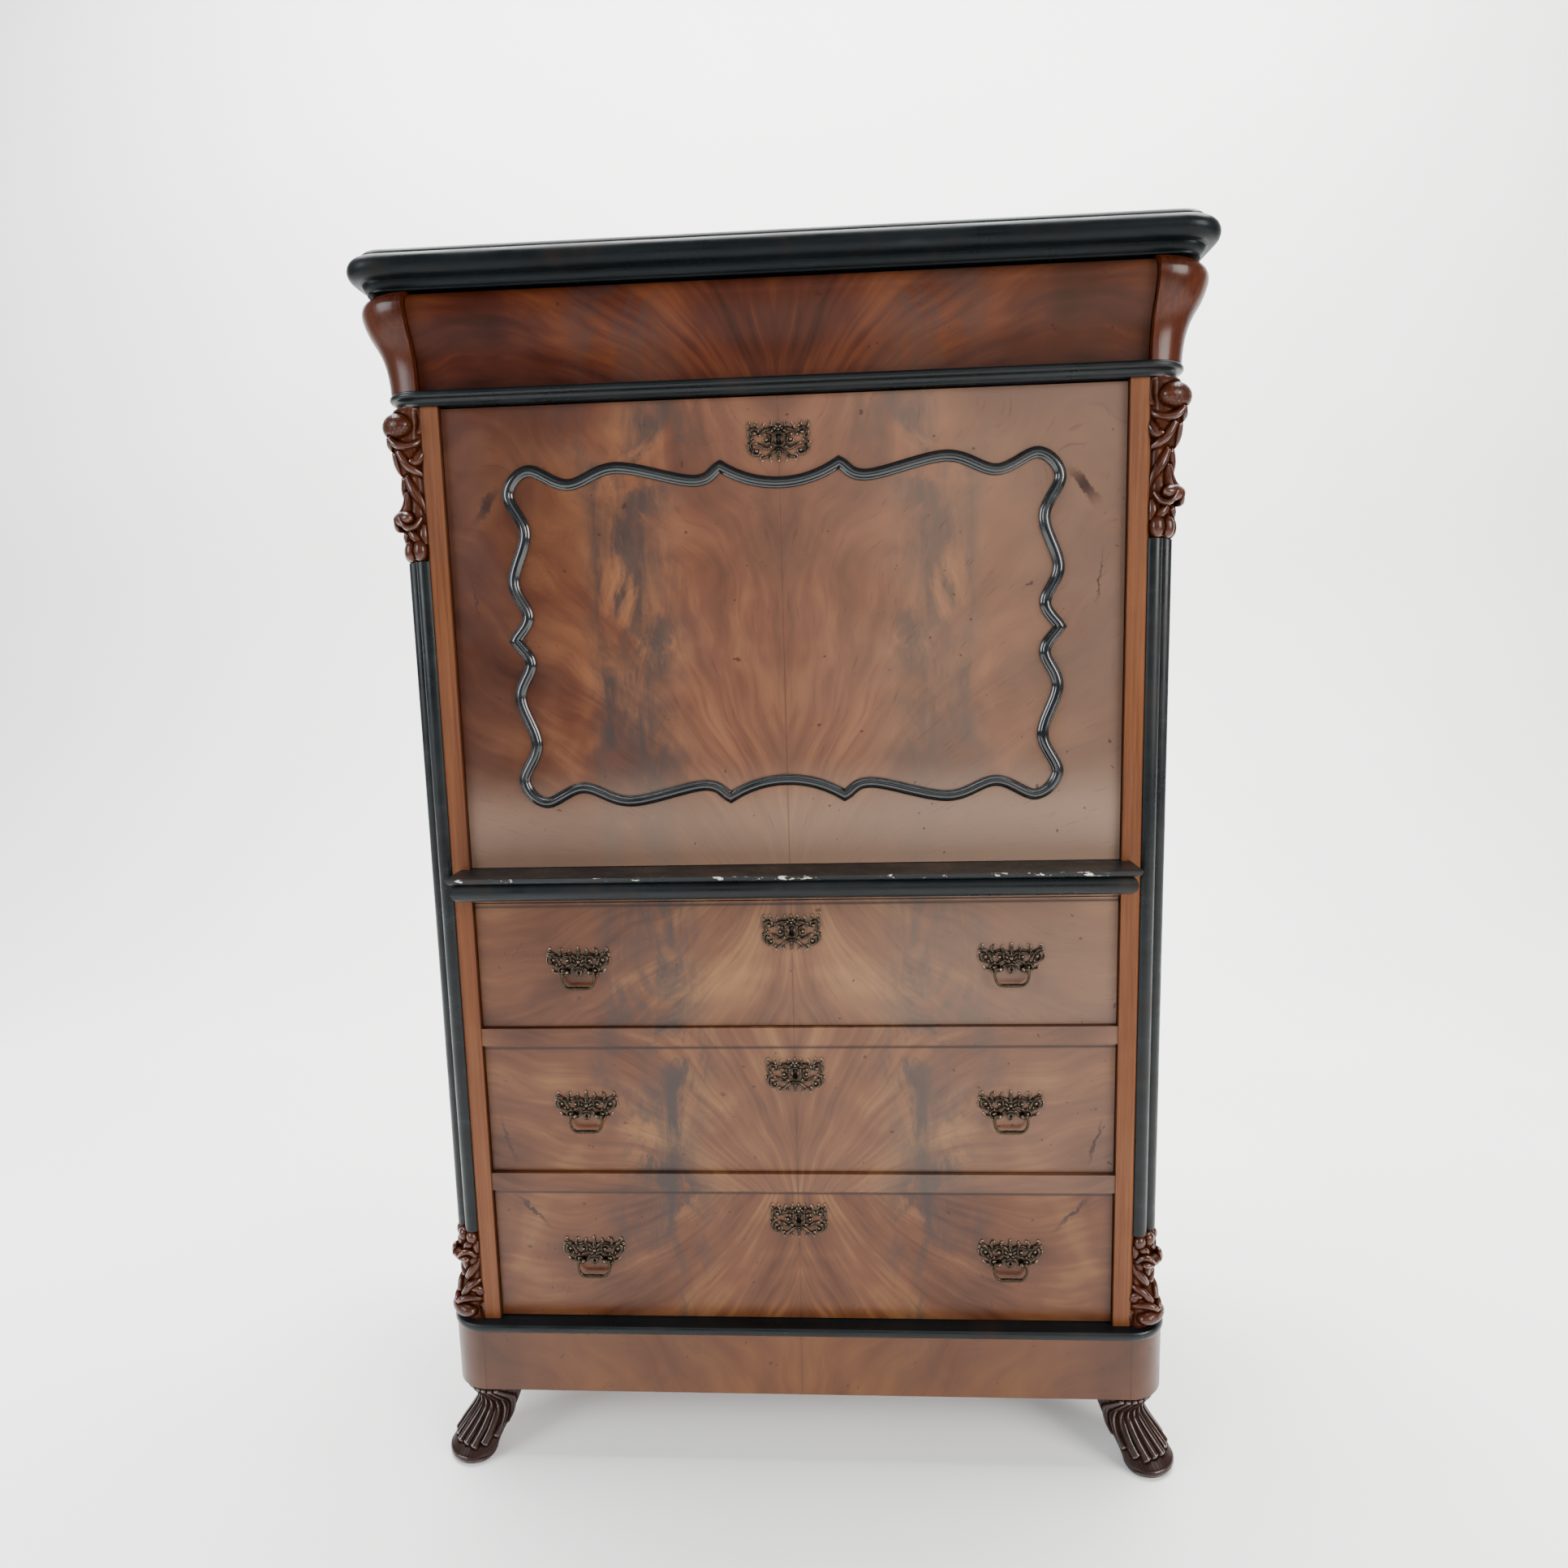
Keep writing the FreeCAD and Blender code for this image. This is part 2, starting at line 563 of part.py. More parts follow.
def crown_outline(p):
    """Fillet and quarter round over a bold torus, with a small cove and fillet below."""
    tip_z = HEIGHT - 23.0
    torus = R_CROWN - 13.0
    return [
        arc(p(torus - 12, HEIGHT), p(torus - 5.6, HEIGHT - 2.25), p(torus - 2, tip_z + 15)),
        line(p(torus - 2, tip_z + 15), p(torus, tip_z + 14)),
        arc(p(torus, tip_z + 14), p(R_CROWN, tip_z), p(torus, tip_z - 13)),
        line(p(torus, tip_z - 13), p(torus - 3, tip_z - 14)),
        arc(p(torus - 3, tip_z - 14), p(torus - 5.5, tip_z - 20), p(torus - 9, tip_z - 23)),
        line(p(torus - 9, tip_z - 23), p(torus - 9, CROWN_BOTTOM)),
    ]


def crown():
    half = CASE_CORNER[0]
    run = (CROWN_CORNER, crown_outline, CROWN_BOTTOM, HEIGHT)
    save("crown_moulding", front_run(*run), corner_runs(*run), side_runs(*run, half - CROWN_CORNER[0]))
    save("top_board", box(-half, half, CROWN_CORNER[1], BACK, HEIGHT - TOP_BOARD, HEIGHT))


# ---------------------------------------------------------------- fall front
def band(curve, spill, count=40):
    """A flat band FRAME_WIDTH wide along a curve on the fall front, run on past both its ends."""
    first, last = curve.FirstParameter, curve.LastParameter
    left, right = [], []
    for i in range(count + 1):
        t = first + (last - first) * i / count
        point, along = curve.value(t), curve.tangent(t)[0]
        if i == 0:
            point = point - along * spill
        if i == count:
            point = point + along * spill
        across = along.cross(INWARD).normalize() * (FRAME_WIDTH / 2)
        left.append(point + across)
        right.append(point - across)
    edges = [spline(left), line(left[-1], right[-1]), spline(right), line(right[0], left[0])]
    return Part.Face(Part.Wire(edges))


def flap_frame():
    """Black serpentine moulding, the same in all four quarters, mitred where its cusps meet."""
    def p(place):
        return at(place[0], 0, FRAME_MIDDLE_Z + place[1])
    waves = Part.BSplineCurve()
    waves.interpolate([p(place) for place in [FRAME_TOP_CUSP] + FRAME_WAVES + [FRAME_SIDE_CUSP]])
    arch = Part.Arc(p(FRAME_TOP_CUSP), p(FRAME_ARCH), p((-FRAME_TOP_CUSP[0], FRAME_TOP_CUSP[1])))
    faces = both(band(waves, FRAME_SPILL)) + [band(arch, FRAME_SPILL)]
    faces += [face.mirror(at(0, 0, FRAME_MIDDLE_Z), UP) for face in faces]
    solids = []
    for face in faces:
        face.translate(Vector(0, RECESS - FRAME_PROUD, 0))
        solids.append(face.extrude(Vector(0, FRAME_PROUD, 0)))
    save("flap_frame", solids[0].fuse(solids[1:]))


def keyhole(z, d0, d1):
    slot = box(-KEY_SLOT_HALF, KEY_SLOT_HALF, d0, d1, z - KEY_SLOT_DROP, z)
    return cylinder(0, d0, z, KEYHOLE_R, d1 - d0, INWARD).fuse(slot)


def lock_parts(top, key_z):
    """A half-mortise lock: the recess it is let into, its case with the bolt's channel, and the bolt."""
    d0, d1 = BOLT_DEPTHS
    front = FRONT_BACK - LOCK_DEPTH
    recess = box(-LOCK_HALF, LOCK_HALF, front, FRONT_BACK, top - LOCK_HEIGHT, top)
    channel = box(-BOLT_HALF - BOLT_ROOM, BOLT_HALF + BOLT_ROOM, d0 - BOLT_ROOM, d1 + BOLT_ROOM,
                  top - BOLT_LENGTH - 4, top)
    bolt = box(-BOLT_HALF, BOLT_HALF, d0, d1, top - BOLT_LENGTH, top - BOLT_ROOM)
    return recess, recess.cut(channel).cut(keyhole(key_z, front, front + 3)), bolt


def flap():
    panel = box(-FLAP_HALF, FLAP_HALF, RECESS, FRONT_BACK, FLAP_BOTTOM, FLAP_TOP)
    inner_low = [edge for edge in panel.Edges if edge.Length > FLAP_HALF
                 and edge.CenterOfMass.isEqual(at(0, FRONT_BACK, FLAP_BOTTOM), 0.1)]
    panel = panel.makeFillet(FLAP_NOSE_R, inner_low)
    leather = box(-LEATHER_HALF, LEATHER_HALF, FRONT_BACK - LEATHER, FRONT_BACK, *LEATHER_LEVELS)
    key_z = FLAP_TOP - FLAP_ESCUTCHEON_DROP
    recess, case, bolt = lock_parts(FLAP_TOP, key_z)
    length = PIVOT_HELD + 1 + PIVOT_REACH
    pivots = both(cylinder(FLAP_HALF - PIVOT_HELD, PIVOT_DEPTH, PIVOT_Z, PIVOT_R, length, RIGHT))
    for piece in [leather, recess, keyhole(key_z, RECESS, FRONT_BACK - LOCK_DEPTH)] + pivots:
        panel = panel.cut(piece)
    save("flap_panel", panel)
    save("writing_leather", leather)
    save("flap_pivots", pivots)
    save("flap_lock", case)
    save("flap_lock_bolt", bolt)
    save("flap_escutcheon", escutcheon(key_z))


def peg_angle():
    """Angle of the stay's peg at rest, just inside the tail's end."""
    return 2 * PEG_R / STAY_RADIUS - STAY_TAIL


def quadrant_stays():
    """Brass quadrants on the fall front that run back beside the gallery and stop it level."""
    def p(radius, angle):
        return at(STAY_X, PIVOT_DEPTH + radius * math.cos(angle), PIVOT_Z + radius * math.sin(angle))
    head = math.acos((FRONT_THICKNESS / 2 + 2) / STAY_RADIUS)
    middle = (head - STAY_TAIL) / 2
    outer, inner = STAY_RADIUS + STAY_HALF_WIDTH, STAY_RADIUS - STAY_HALF_WIDTH
    wire = Part.Wire([
        arc(p(outer, -STAY_TAIL), p(outer, middle), p(outer, head)),
        line(p(outer, head), p(inner, head)),
        arc(p(inner, head), p(inner, middle), p(inner, -STAY_TAIL)),
        line(p(inner, -STAY_TAIL), p(outer, -STAY_TAIL)),
    ])
    stay = Part.Face(wire).extrude(Vector(STAY_THICKNESS, 0, 0))
    foot = box(STAY_X - 8, STAY_X + STAY_THICKNESS, FRONT_BACK, FRONT_BACK + 3,
               PIVOT_Z + STAY_RADIUS - 24, PIVOT_Z + STAY_RADIUS + 16)
    peg = Part.makeCylinder(PEG_R, STAY_THICKNESS + 4, p(STAY_RADIUS, peg_angle()), RIGHT)
    save("flap_stays", both(stay.fuse([foot, peg]).removeSplitter()))


# ---------------------------------------------------------------- gallery
def small_drawer_floor(row):
    return BED_TOP + row * (SMALL_DRAWER + BOARD)


def gallery():
    """Fixed boards of the gallery: two stacks of small drawers, an arched niche, open shelves above."""
    d0, d1 = GALLERY_FRONT, GALLERY_BACK
    top = CASE_TOP - 1.0
    inner = GALLERY_HALF - BOARD
    partition = NICHE_HALF + BOARD
    boards = both(box(inner, GALLERY_HALF, d0, d1, BED_TOP, top))
    boards += both(box(NICHE_HALF, partition, d0, d1, BED_TOP, top - BOARD))
    boards.append(box(-inner, inner, d0, d1, top - BOARD, top))
    boards.append(box(-NICHE_HALF, NICHE_HALF, d0, d1, NICHE_TOP, NICHE_TOP + BOARD))
    boards += both(box(partition, inner, d0 + SHELF_SET_BACK, d1, NICHE_TOP, NICHE_TOP + BOARD))
    for row in (1, 2, 3):
        z = small_drawer_floor(row)
        boards += both(box(partition, inner, d0, d1, z - BOARD, z))

    def p(x, drop):
        return at(x, d0, NICHE_TOP - drop)
    arch = Part.Wire([
        arc(p(-NICHE_HALF, NICHE_RISE), p(0, ARCH_CROWN), p(NICHE_HALF, NICHE_RISE)),
        line(p(NICHE_HALF, NICHE_RISE), p(NICHE_HALF, 0)),
        line(p(NICHE_HALF, 0), p(-NICHE_HALF, 0)),
        line(p(-NICHE_HALF, 0), p(-NICHE_HALF, NICHE_RISE)),
    ])
    save("gallery_boards", boards, Part.Face(arch).extrude(Vector(0, BOARD, 0)))


def small_drawer(name, side, row):
    """One small drawer: front, four thin boards and a turned knob."""
    x0, x1 = NICHE_HALF + BOARD + SMALL_CLEARANCE, GALLERY_HALF - BOARD - SMALL_CLEARANCE
    z0 = small_drawer_floor(row) + SMALL_CLEARANCE
    z1 = z0 + SMALL_DRAWER - 2 * SMALL_CLEARANCE
    d0, d1 = GALLERY_FRONT + 1, GALLERY_BACK - 20
    inside, rim = d0 + BOARD, z1 - SMALL_RIM_DROP
    knob_x, knob_z = (x0 + x1) / 2, (z0 + z1) / 2
    knob = cylinder(knob_x, d0, knob_z, KNOB_NECK, KNOB_R, -INWARD)
    knob = knob.fuse(Part.makeSphere(KNOB_R, at(knob_x, d0 - KNOB_STAND, knob_z)))
    pieces = [
        box(x0, x1, d0, inside, z0, z1),
        box(x0, x0 + THIN_BOARD, inside, d1, z0, rim),
        box(x1 - THIN_BOARD, x1, inside, d1, z0, rim),
        box(x0 + THIN_BOARD, x1 - THIN_BOARD, d1 - THIN_BOARD, d1, z0, rim),
        box(x0 + THIN_BOARD, x1 - THIN_BOARD, inside, d1 - THIN_BOARD, z0 + 2, z0 + 6),
        knob,
    ]
    if side < 0:
        pieces = [both(piece)[1] for piece in pieces]
    save(name, pieces)


# ---------------------------------------------------------------- brass and drawers
def lobed_plate(x, z, half_width, half_height, lobes):
    """Thin cast plate on a front, with a wavy edge."""
    points = []
    steps = 8 * lobes
    for i in range(steps):
        turn = 2 * math.pi * i / steps
        swell = 1 - LOBE_DEPTH + LOBE_DEPTH * math.cos(lobes * turn)
        dx, dz = half_width * math.cos(turn), half_height * math.sin(turn)
        points.append(at(x + swell * dx, RECESS, z + swell * dz))
    curve = Part.BSplineCurve()
    curve.interpolate(points, PeriodicFlag=True)
    return Part.Face(Part.Wire(curve.toShape())).extrude(-INWARD * PLATE)


def escutcheon(key_z):
    return lobed_plate(0, key_z, *ESCUTCHEON, ESCUTCHEON_LOBES).cut(keyhole(key_z, RECESS - PLATE, RECESS))


def pull_plate(x, z):
    """Plate of a pull with two bosses, cross-bored for the bail's pins."""
    plate = lobed_plate(x, z, *PULL_PLATE, PULL_LOBES)
    pivot_z = z - BAIL_PIVOT_DROP
    for side in (-1, 1):
        plate = plate.fuse(cylinder(x + side * BOSS_X, RECESS, pivot_z, BOSS_R, BAIL_STAND + BOSS_R, -INWARD))
    bore_r = BAIL_PIN_R + RUNNING_CLEARANCE
    bore = cylinder(x - BAIL_HALF, RECESS - BAIL_STAND, pivot_z, bore_r, 2 * BAIL_HALF, RIGHT)
    return plate.cut(bore).removeSplitter()


def bail(x, z):
    """A hanging loop of brass rod whose turned-in ends are its pins."""
    def p(dx, dz):
        return at(x + dx, RECESS - BAIL_STAND, z - BAIL_PIVOT_DROP + dz)
    slant = BAIL_BEND * math.sqrt(0.5)
    turn = BAIL_HALF - BAIL_BEND

    def bend(side):
        middle = p(side * (turn + slant), BAIL_BEND - BAIL_DROP - slant)
        return arc(p(side * BAIL_HALF, BAIL_BEND - BAIL_DROP), middle, p(side * turn, -BAIL_DROP))
    path = Part.Wire([
        line(p(-BAIL_HALF, 0), p(-BAIL_HALF, BAIL_BEND - BAIL_DROP)),
        bend(-1),
        line(p(-turn, -BAIL_DROP), p(turn, -BAIL_DROP)),
        bend(1),
        line(p(BAIL_HALF, BAIL_BEND - BAIL_DROP), p(BAIL_HALF, 0)),
    ])
    circle = Part.Wire(Part.Circle(p(-BAIL_HALF, 0), UP, BAIL_R).toShape())
    loop = path.makePipeShell([circle], True, False)
    reach = BAIL_HALF - (BOSS_X - BOSS_R)
    for side in (-1, 1):
        loop = loop.fuse(Part.makeSphere(BAIL_R, p(side * BAIL_HALF, 0)))
        loop = loop.fuse(Part.makeCylinder(BAIL_PIN_R, reach, p(side * BAIL_HALF, 0), RIGHT * -side))
    return loop.removeSplitter()


def main_drawer(number):
    z0, z1 = DRAWER_LEVELS[number]
    name = "drawer_%d_" % number
    half = OPENING_HALF - GAP
    low, high = z0 + GAP, z1 - GAP
    key_z = z1 - ESCUTCHEON_DROP
    pull_z = (z0 + z1) / 2 + PULL_RISE
    recess, case, bolt = lock_parts(high, key_z)
    front = box(-half, half, RECESS, FRONT_BACK, low, high)
    save(name + "front", front.cut(recess).cut(keyhole(key_z, RECESS, FRONT_BACK - LOCK_DEPTH)))

    outer = OPENING_HALF - BOX_CLEARANCE
    inner = outer - DRAWER_SIDE
    floor, rim = z0 + SOLE, z1 - BOX_DROP
    board = floor + BOTTOM_RISE
    sides = both(box(inner, outer, FRONT_BACK, DRAWER_LENGTH, floor, rim))
    rear = box(-inner, inner, DRAWER_LENGTH - DRAWER_SIDE, DRAWER_LENGTH, floor, rim)
    bottom = box(-inner, inner, FRONT_BACK, DRAWER_LENGTH - DRAWER_SIDE, board, board + THIN_BOTTOM)
    save(name + "box", sides, rear, bottom)

    plates = [pull_plate(side * PULL_X, pull_z) for side in (1, -1)]
    save(name + "brasses", plates, escutcheon(key_z), case)
    save(name + "bolt", bolt)
    save(name + "bail_right", bail(PULL_X, pull_z))
    save(name + "bail_left", bail(-PULL_X, pull_z))


os.makedirs("parts", exist_ok=True)
plinth()
base_bead()
front_feet()
back_feet()
side_panels()
corner_posts()
reeded_columns()
carved_scrolls()
rails()
waist_moulding()
drawer_runners()
case_boards()
back()
writing_bed()
frieze()
frieze_drawer()
frieze_bead()
crown()
flap()
flap_frame()
quadrant_stays()
gallery()
for stack_row in (0, 1, 2):
    small_drawer("small_drawer_right_%d" % (stack_row + 1), 1, stack_row)
    small_drawer("small_drawer_left_%d" % (stack_row + 1), -1, stack_row)
for drawer_number in DRAWER_LEVELS:
    main_drawer(drawer_number)
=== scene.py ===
"""Looks of a fall-front secretary desk in flame mahogany with ebonised mouldings and cast brasses."""
import math

import bmesh
import bpy
from mathutils import Matrix, Vector


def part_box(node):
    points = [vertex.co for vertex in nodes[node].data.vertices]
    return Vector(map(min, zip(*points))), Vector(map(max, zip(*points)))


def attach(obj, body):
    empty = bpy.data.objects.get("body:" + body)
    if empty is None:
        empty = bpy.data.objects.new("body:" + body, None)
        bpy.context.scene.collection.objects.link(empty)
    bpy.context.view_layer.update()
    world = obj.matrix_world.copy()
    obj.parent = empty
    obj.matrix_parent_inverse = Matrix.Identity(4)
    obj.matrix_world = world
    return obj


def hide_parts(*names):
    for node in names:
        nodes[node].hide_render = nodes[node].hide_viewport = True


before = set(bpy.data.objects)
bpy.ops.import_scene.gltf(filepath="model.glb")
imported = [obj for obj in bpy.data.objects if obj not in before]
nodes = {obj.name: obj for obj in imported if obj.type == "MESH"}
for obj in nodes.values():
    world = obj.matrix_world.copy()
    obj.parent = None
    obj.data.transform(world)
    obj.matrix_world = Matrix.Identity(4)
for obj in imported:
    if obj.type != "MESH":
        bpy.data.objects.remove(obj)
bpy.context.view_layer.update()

MM = 0.001

# ---------------------------------------------------------------- places, from the frame
FLAP_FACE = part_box("flap_panel")[0].y
COLUMN_LOW, COLUMN_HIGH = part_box("reeded_columns")
BOTTOM_CARVING_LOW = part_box("carved_scrolls_bottom")[0]
TOP_CARVING_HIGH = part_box("carved_scrolls_top")[1]
WAIST_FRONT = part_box("waist_moulding")[0].y
FOOT_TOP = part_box("feet_front")[1].z
STILE_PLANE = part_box("front_stiles")[0].y

# the canted corner: its plan centre, and how far out its face lies
CORNER_X = 0.442
CORNER = Vector((CORNER_X, STILE_PLANE + 0.037))
CANT = 0.02616

# the serpentine moulding on the fall front: one quarter, x and height from its middle
FRAME_MIDDLE = 1.141
FRAME_ARCH = 0.1845
FRAME_CUSP = (0.073, 0.206)
FRAME_WAVES = ((0.107, 0.190), (0.203, 0.209), (0.264, 0.1905), (0.314, 0.209), (0.341, 0.181),
               (0.322, 0.133), (0.340, 0.073), (0.324, 0.030))
FRAME_SIDE = (0.342, 0.0)

# brasses: pulls with their bails, keyhole plates, lock cases
PULL_X = 0.284
PULL_RISE = 0.012  # a pull's centre above its bail's pivots
BAIL_ROD = 0.002
BAIL_HALF = 0.021
BAIL_DROP = 0.021
BOSS_X = 0.015
CAST_PROUD = 1.6  # millimetres that the middle of the casting stands in front of the wood
CAST_SWELL = 1.4  # how much fatter the strokes are cast than they are drawn
CAST_VOXEL = 0.00055
KEY_DROP = 0.0428  # escutcheon's centre below the top of the drawer's brasses
KEYHOLE_RADIUS = 0.0034
KEYHOLE_RISE = 0.0058
KEYHOLE_SLOT = 0.0026
KEYHOLE_FOOT = -0.0040
KEYHOLE_DEPTH = 0.0007
LOCK_HALF = 0.035
LOCK_DEPTH = 0.011
LOCK_BEVEL = 0.0006
CHANNEL_HALF = 0.0094  # the bolt's channel in a lock case
CHANNEL_DEPTHS = (0.0031, 0.0089)
CHANNEL_LENGTH = 0.028
SCREW_REACH = 0.028
SCREW_HEAD = 0.003
SCREW_PROUD = 0.0008

# the studio: metres and watts, but degrees for the camera's turns and millimetres for its lens and sensor
CAMERA_PLACE = Vector((0.0722, -1.4672, 1.1271))
CAMERA_YAW, CAMERA_PITCH, CAMERA_ROLL = -3.42, -7.80, -1.53
CAMERA_LENS = 23.29
CAMERA_SENSOR = 36.0
CAMERA_NEAR = 0.05
FLOOR_REACH = 6.0
FLOOR_BACK = 1.6
FLOOR_BEND = 1.5
FLOOR_RISE = 5.0
SKY = (0.93, 0.96, 1.0, 1.0)
SKY_STRENGTH = 0.35
DESK_MIDDLE = (0, 0, 0.9)
LIGHTS = (  # name, place, target, size, power, colour
    ("window", (-3.6, -2.4, 2.2), DESK_MIDDLE, (2.2, 2.2), 200.0, (0.90, 0.95, 1.0)),
    ("room", (3.6, -2.8, 2.2), DESK_MIDDLE, (2.2, 2.2), 280.0, (1.0, 0.97, 0.93)),
    ("front", (1.2, -4.8, 3.0), DESK_MIDDLE, (5.0, 2.6), 60.0, (1.0, 0.98, 0.96)),
    ("above", (0.0, 0.9, 4.6), (0, 1.3, 0.0), (6.0, 3.0), 950.0, (1.0, 1.0, 1.0)),
)


# ---------------------------------------------------------------- mesh helpers
def smooth_path(points, steps):
    """Points along the Catmull-Rom curve through the given ones."""
    ends = [points[0] * 2 - points[1], *points, points[-1] * 2 - points[-2]]
    path = []
    for before, start, end, after in zip(ends, ends[1:], ends[2:], ends[3:]):
        for i in range(steps):
            t = i / steps
            path.append(0.5 * ((2 * start) + (end - before) * t
                               + (2 * before - 5 * start + 4 * end - after) * t ** 2
                               + (3 * start - before - 3 * end + after) * t ** 3))
    return path + [points[-1]]


def add_tube(mesh, points, radii, flat=1.0, sides=10, steps=5):
    """A round bar through the points with a radius for each; flat thins it along Y."""
    path = smooth_path([Vector(point) for point in points], steps)
    sizes = smooth_path([Vector((radius, 0, 0)) for radius in radii], steps)
    rings = []
    side = None
    for i, point in enumerate(path):
        along = (path[min(i + 1, len(path) - 1)] - path[max(i - 1, 0)]).normalized()
        if side is None:
            side = along.orthogonal().normalized()
        side = (side - along * side.dot(along)).normalized()
        lift = along.cross(side)
        ring = []
        for k in range(sides):
            angle = math.tau * k / sides
            offset = (side * math.cos(angle) + lift * math.sin(angle)) * sizes[i].x
            offset.y *= flat
            ring.append(mesh.verts.new(point + offset))
        rings.append(ring)
    for lower, upper in zip(rings, rings[1:]):
        for k in range(sides):
            n = (k + 1) % sides
            mesh.faces.new((lower[k], lower[n], upper[n], upper[k]))
    for ring, point, toward, size, turned in (
            (rings[0], path[0], path[0] - path[1], sizes[0].x, True),
            (rings[-1], path[-1], path[-1] - path[-2], sizes[-1].x, False)):
        tip = mesh.verts.new(point + toward.normalized() * size * 0.7)
        for k in range(sides):
            a, b = ring[k], ring[(k + 1) % sides]
            mesh.faces.new((b, a, tip) if turned else (a, b, tip))


def add_lobe(mesh, centre, axes):
    """A rounded swelling with the three half-axes given as vectors."""
    made = bmesh.ops.create_icosphere(mesh, subdivisions=3, radius=1.0)["verts"]
    shape = Matrix([(axes[0][i], axes[1][i], axes[2][i]) for i in range(3)])
    for vert in made:
        vert.co = Vector(centre) + shape @ vert.co


def add_loft(mesh, rings):
    """A closed skin over rings of places."""
    loops = [[mesh.verts.new(place) for place in ring] for ring in rings]
    count = len(loops[0])
    for lower, upper in zip(loops, loops[1:]):
        for k in range(count):
            n = (k + 1) % count
            mesh.faces.new((lower[k], lower[n], upper[n], upper[k]))
    mesh.faces.new(loops[0][::-1])
    mesh.faces.new(loops[-1])


def make_object(name, mesh, material):
    """A smooth-shaded object from a bmesh."""
    bmesh.ops.recalc_face_normals(mesh, faces=mesh.faces)
    data = bpy.data.meshes.new(name)
    mesh.to_mesh(data)
    mesh.free()
    data.materials.append(material)
    data.shade_smooth()
    piece = bpy.data.objects.new(name, data)
    bpy.context.scene.collection.objects.link(piece)
    return piece


def apply_modifiers(piece):
    """Turns the modifiers' result into the object's own mesh."""
    graph = bpy.context.evaluated_depsgraph_get()
    data = bpy.data.meshes.new_from_object(piece.evaluated_get(graph))
    piece.modifiers.clear()
    piece.data = data
    data.shade_smooth()


def fuse(piece, voxel, soften):
    """Melts overlapping parts into one skin, as if carved or cast from one piece."""
    remesh = piece.modifiers.new("remesh", "REMESH")
    remesh.mode = "VOXEL"
    remesh.voxel_size = voxel
    smooth = piece.modifiers.new("smooth", "SMOOTH")
    smooth.factor = 0.5
    smooth.iterations = soften
    apply_modifiers(piece)


def mirrored(piece, name):
    """A copy of a piece on the other side of the desk."""
    data = piece.data.copy()
    data.transform(Matrix.Scale(-1, 4, Vector((1, 0, 0))))
    data.flip_normals()
    twin = bpy.data.objects.new(name, data)
    bpy.context.scene.collection.objects.link(twin)
    return twin


def copy_at(piece, name, place):
    """The same mesh again somewhere else."""
    twin = bpy.data.objects.new(name, piece.data)
    twin.location = place
    bpy.context.scene.collection.objects.link(twin)
    return twin


# ---------------------------------------------------------------- materials
def srgb(code):
    """Linear colour from a six-digit sRGB code."""
    parts = [int(code[i:i + 2], 16) / 255 for i in (0, 2, 4)]
    return (*[p / 12.92 if p < 0.04045 else ((p + 0.055) / 1.055) ** 2.4 for p in parts], 1.0)


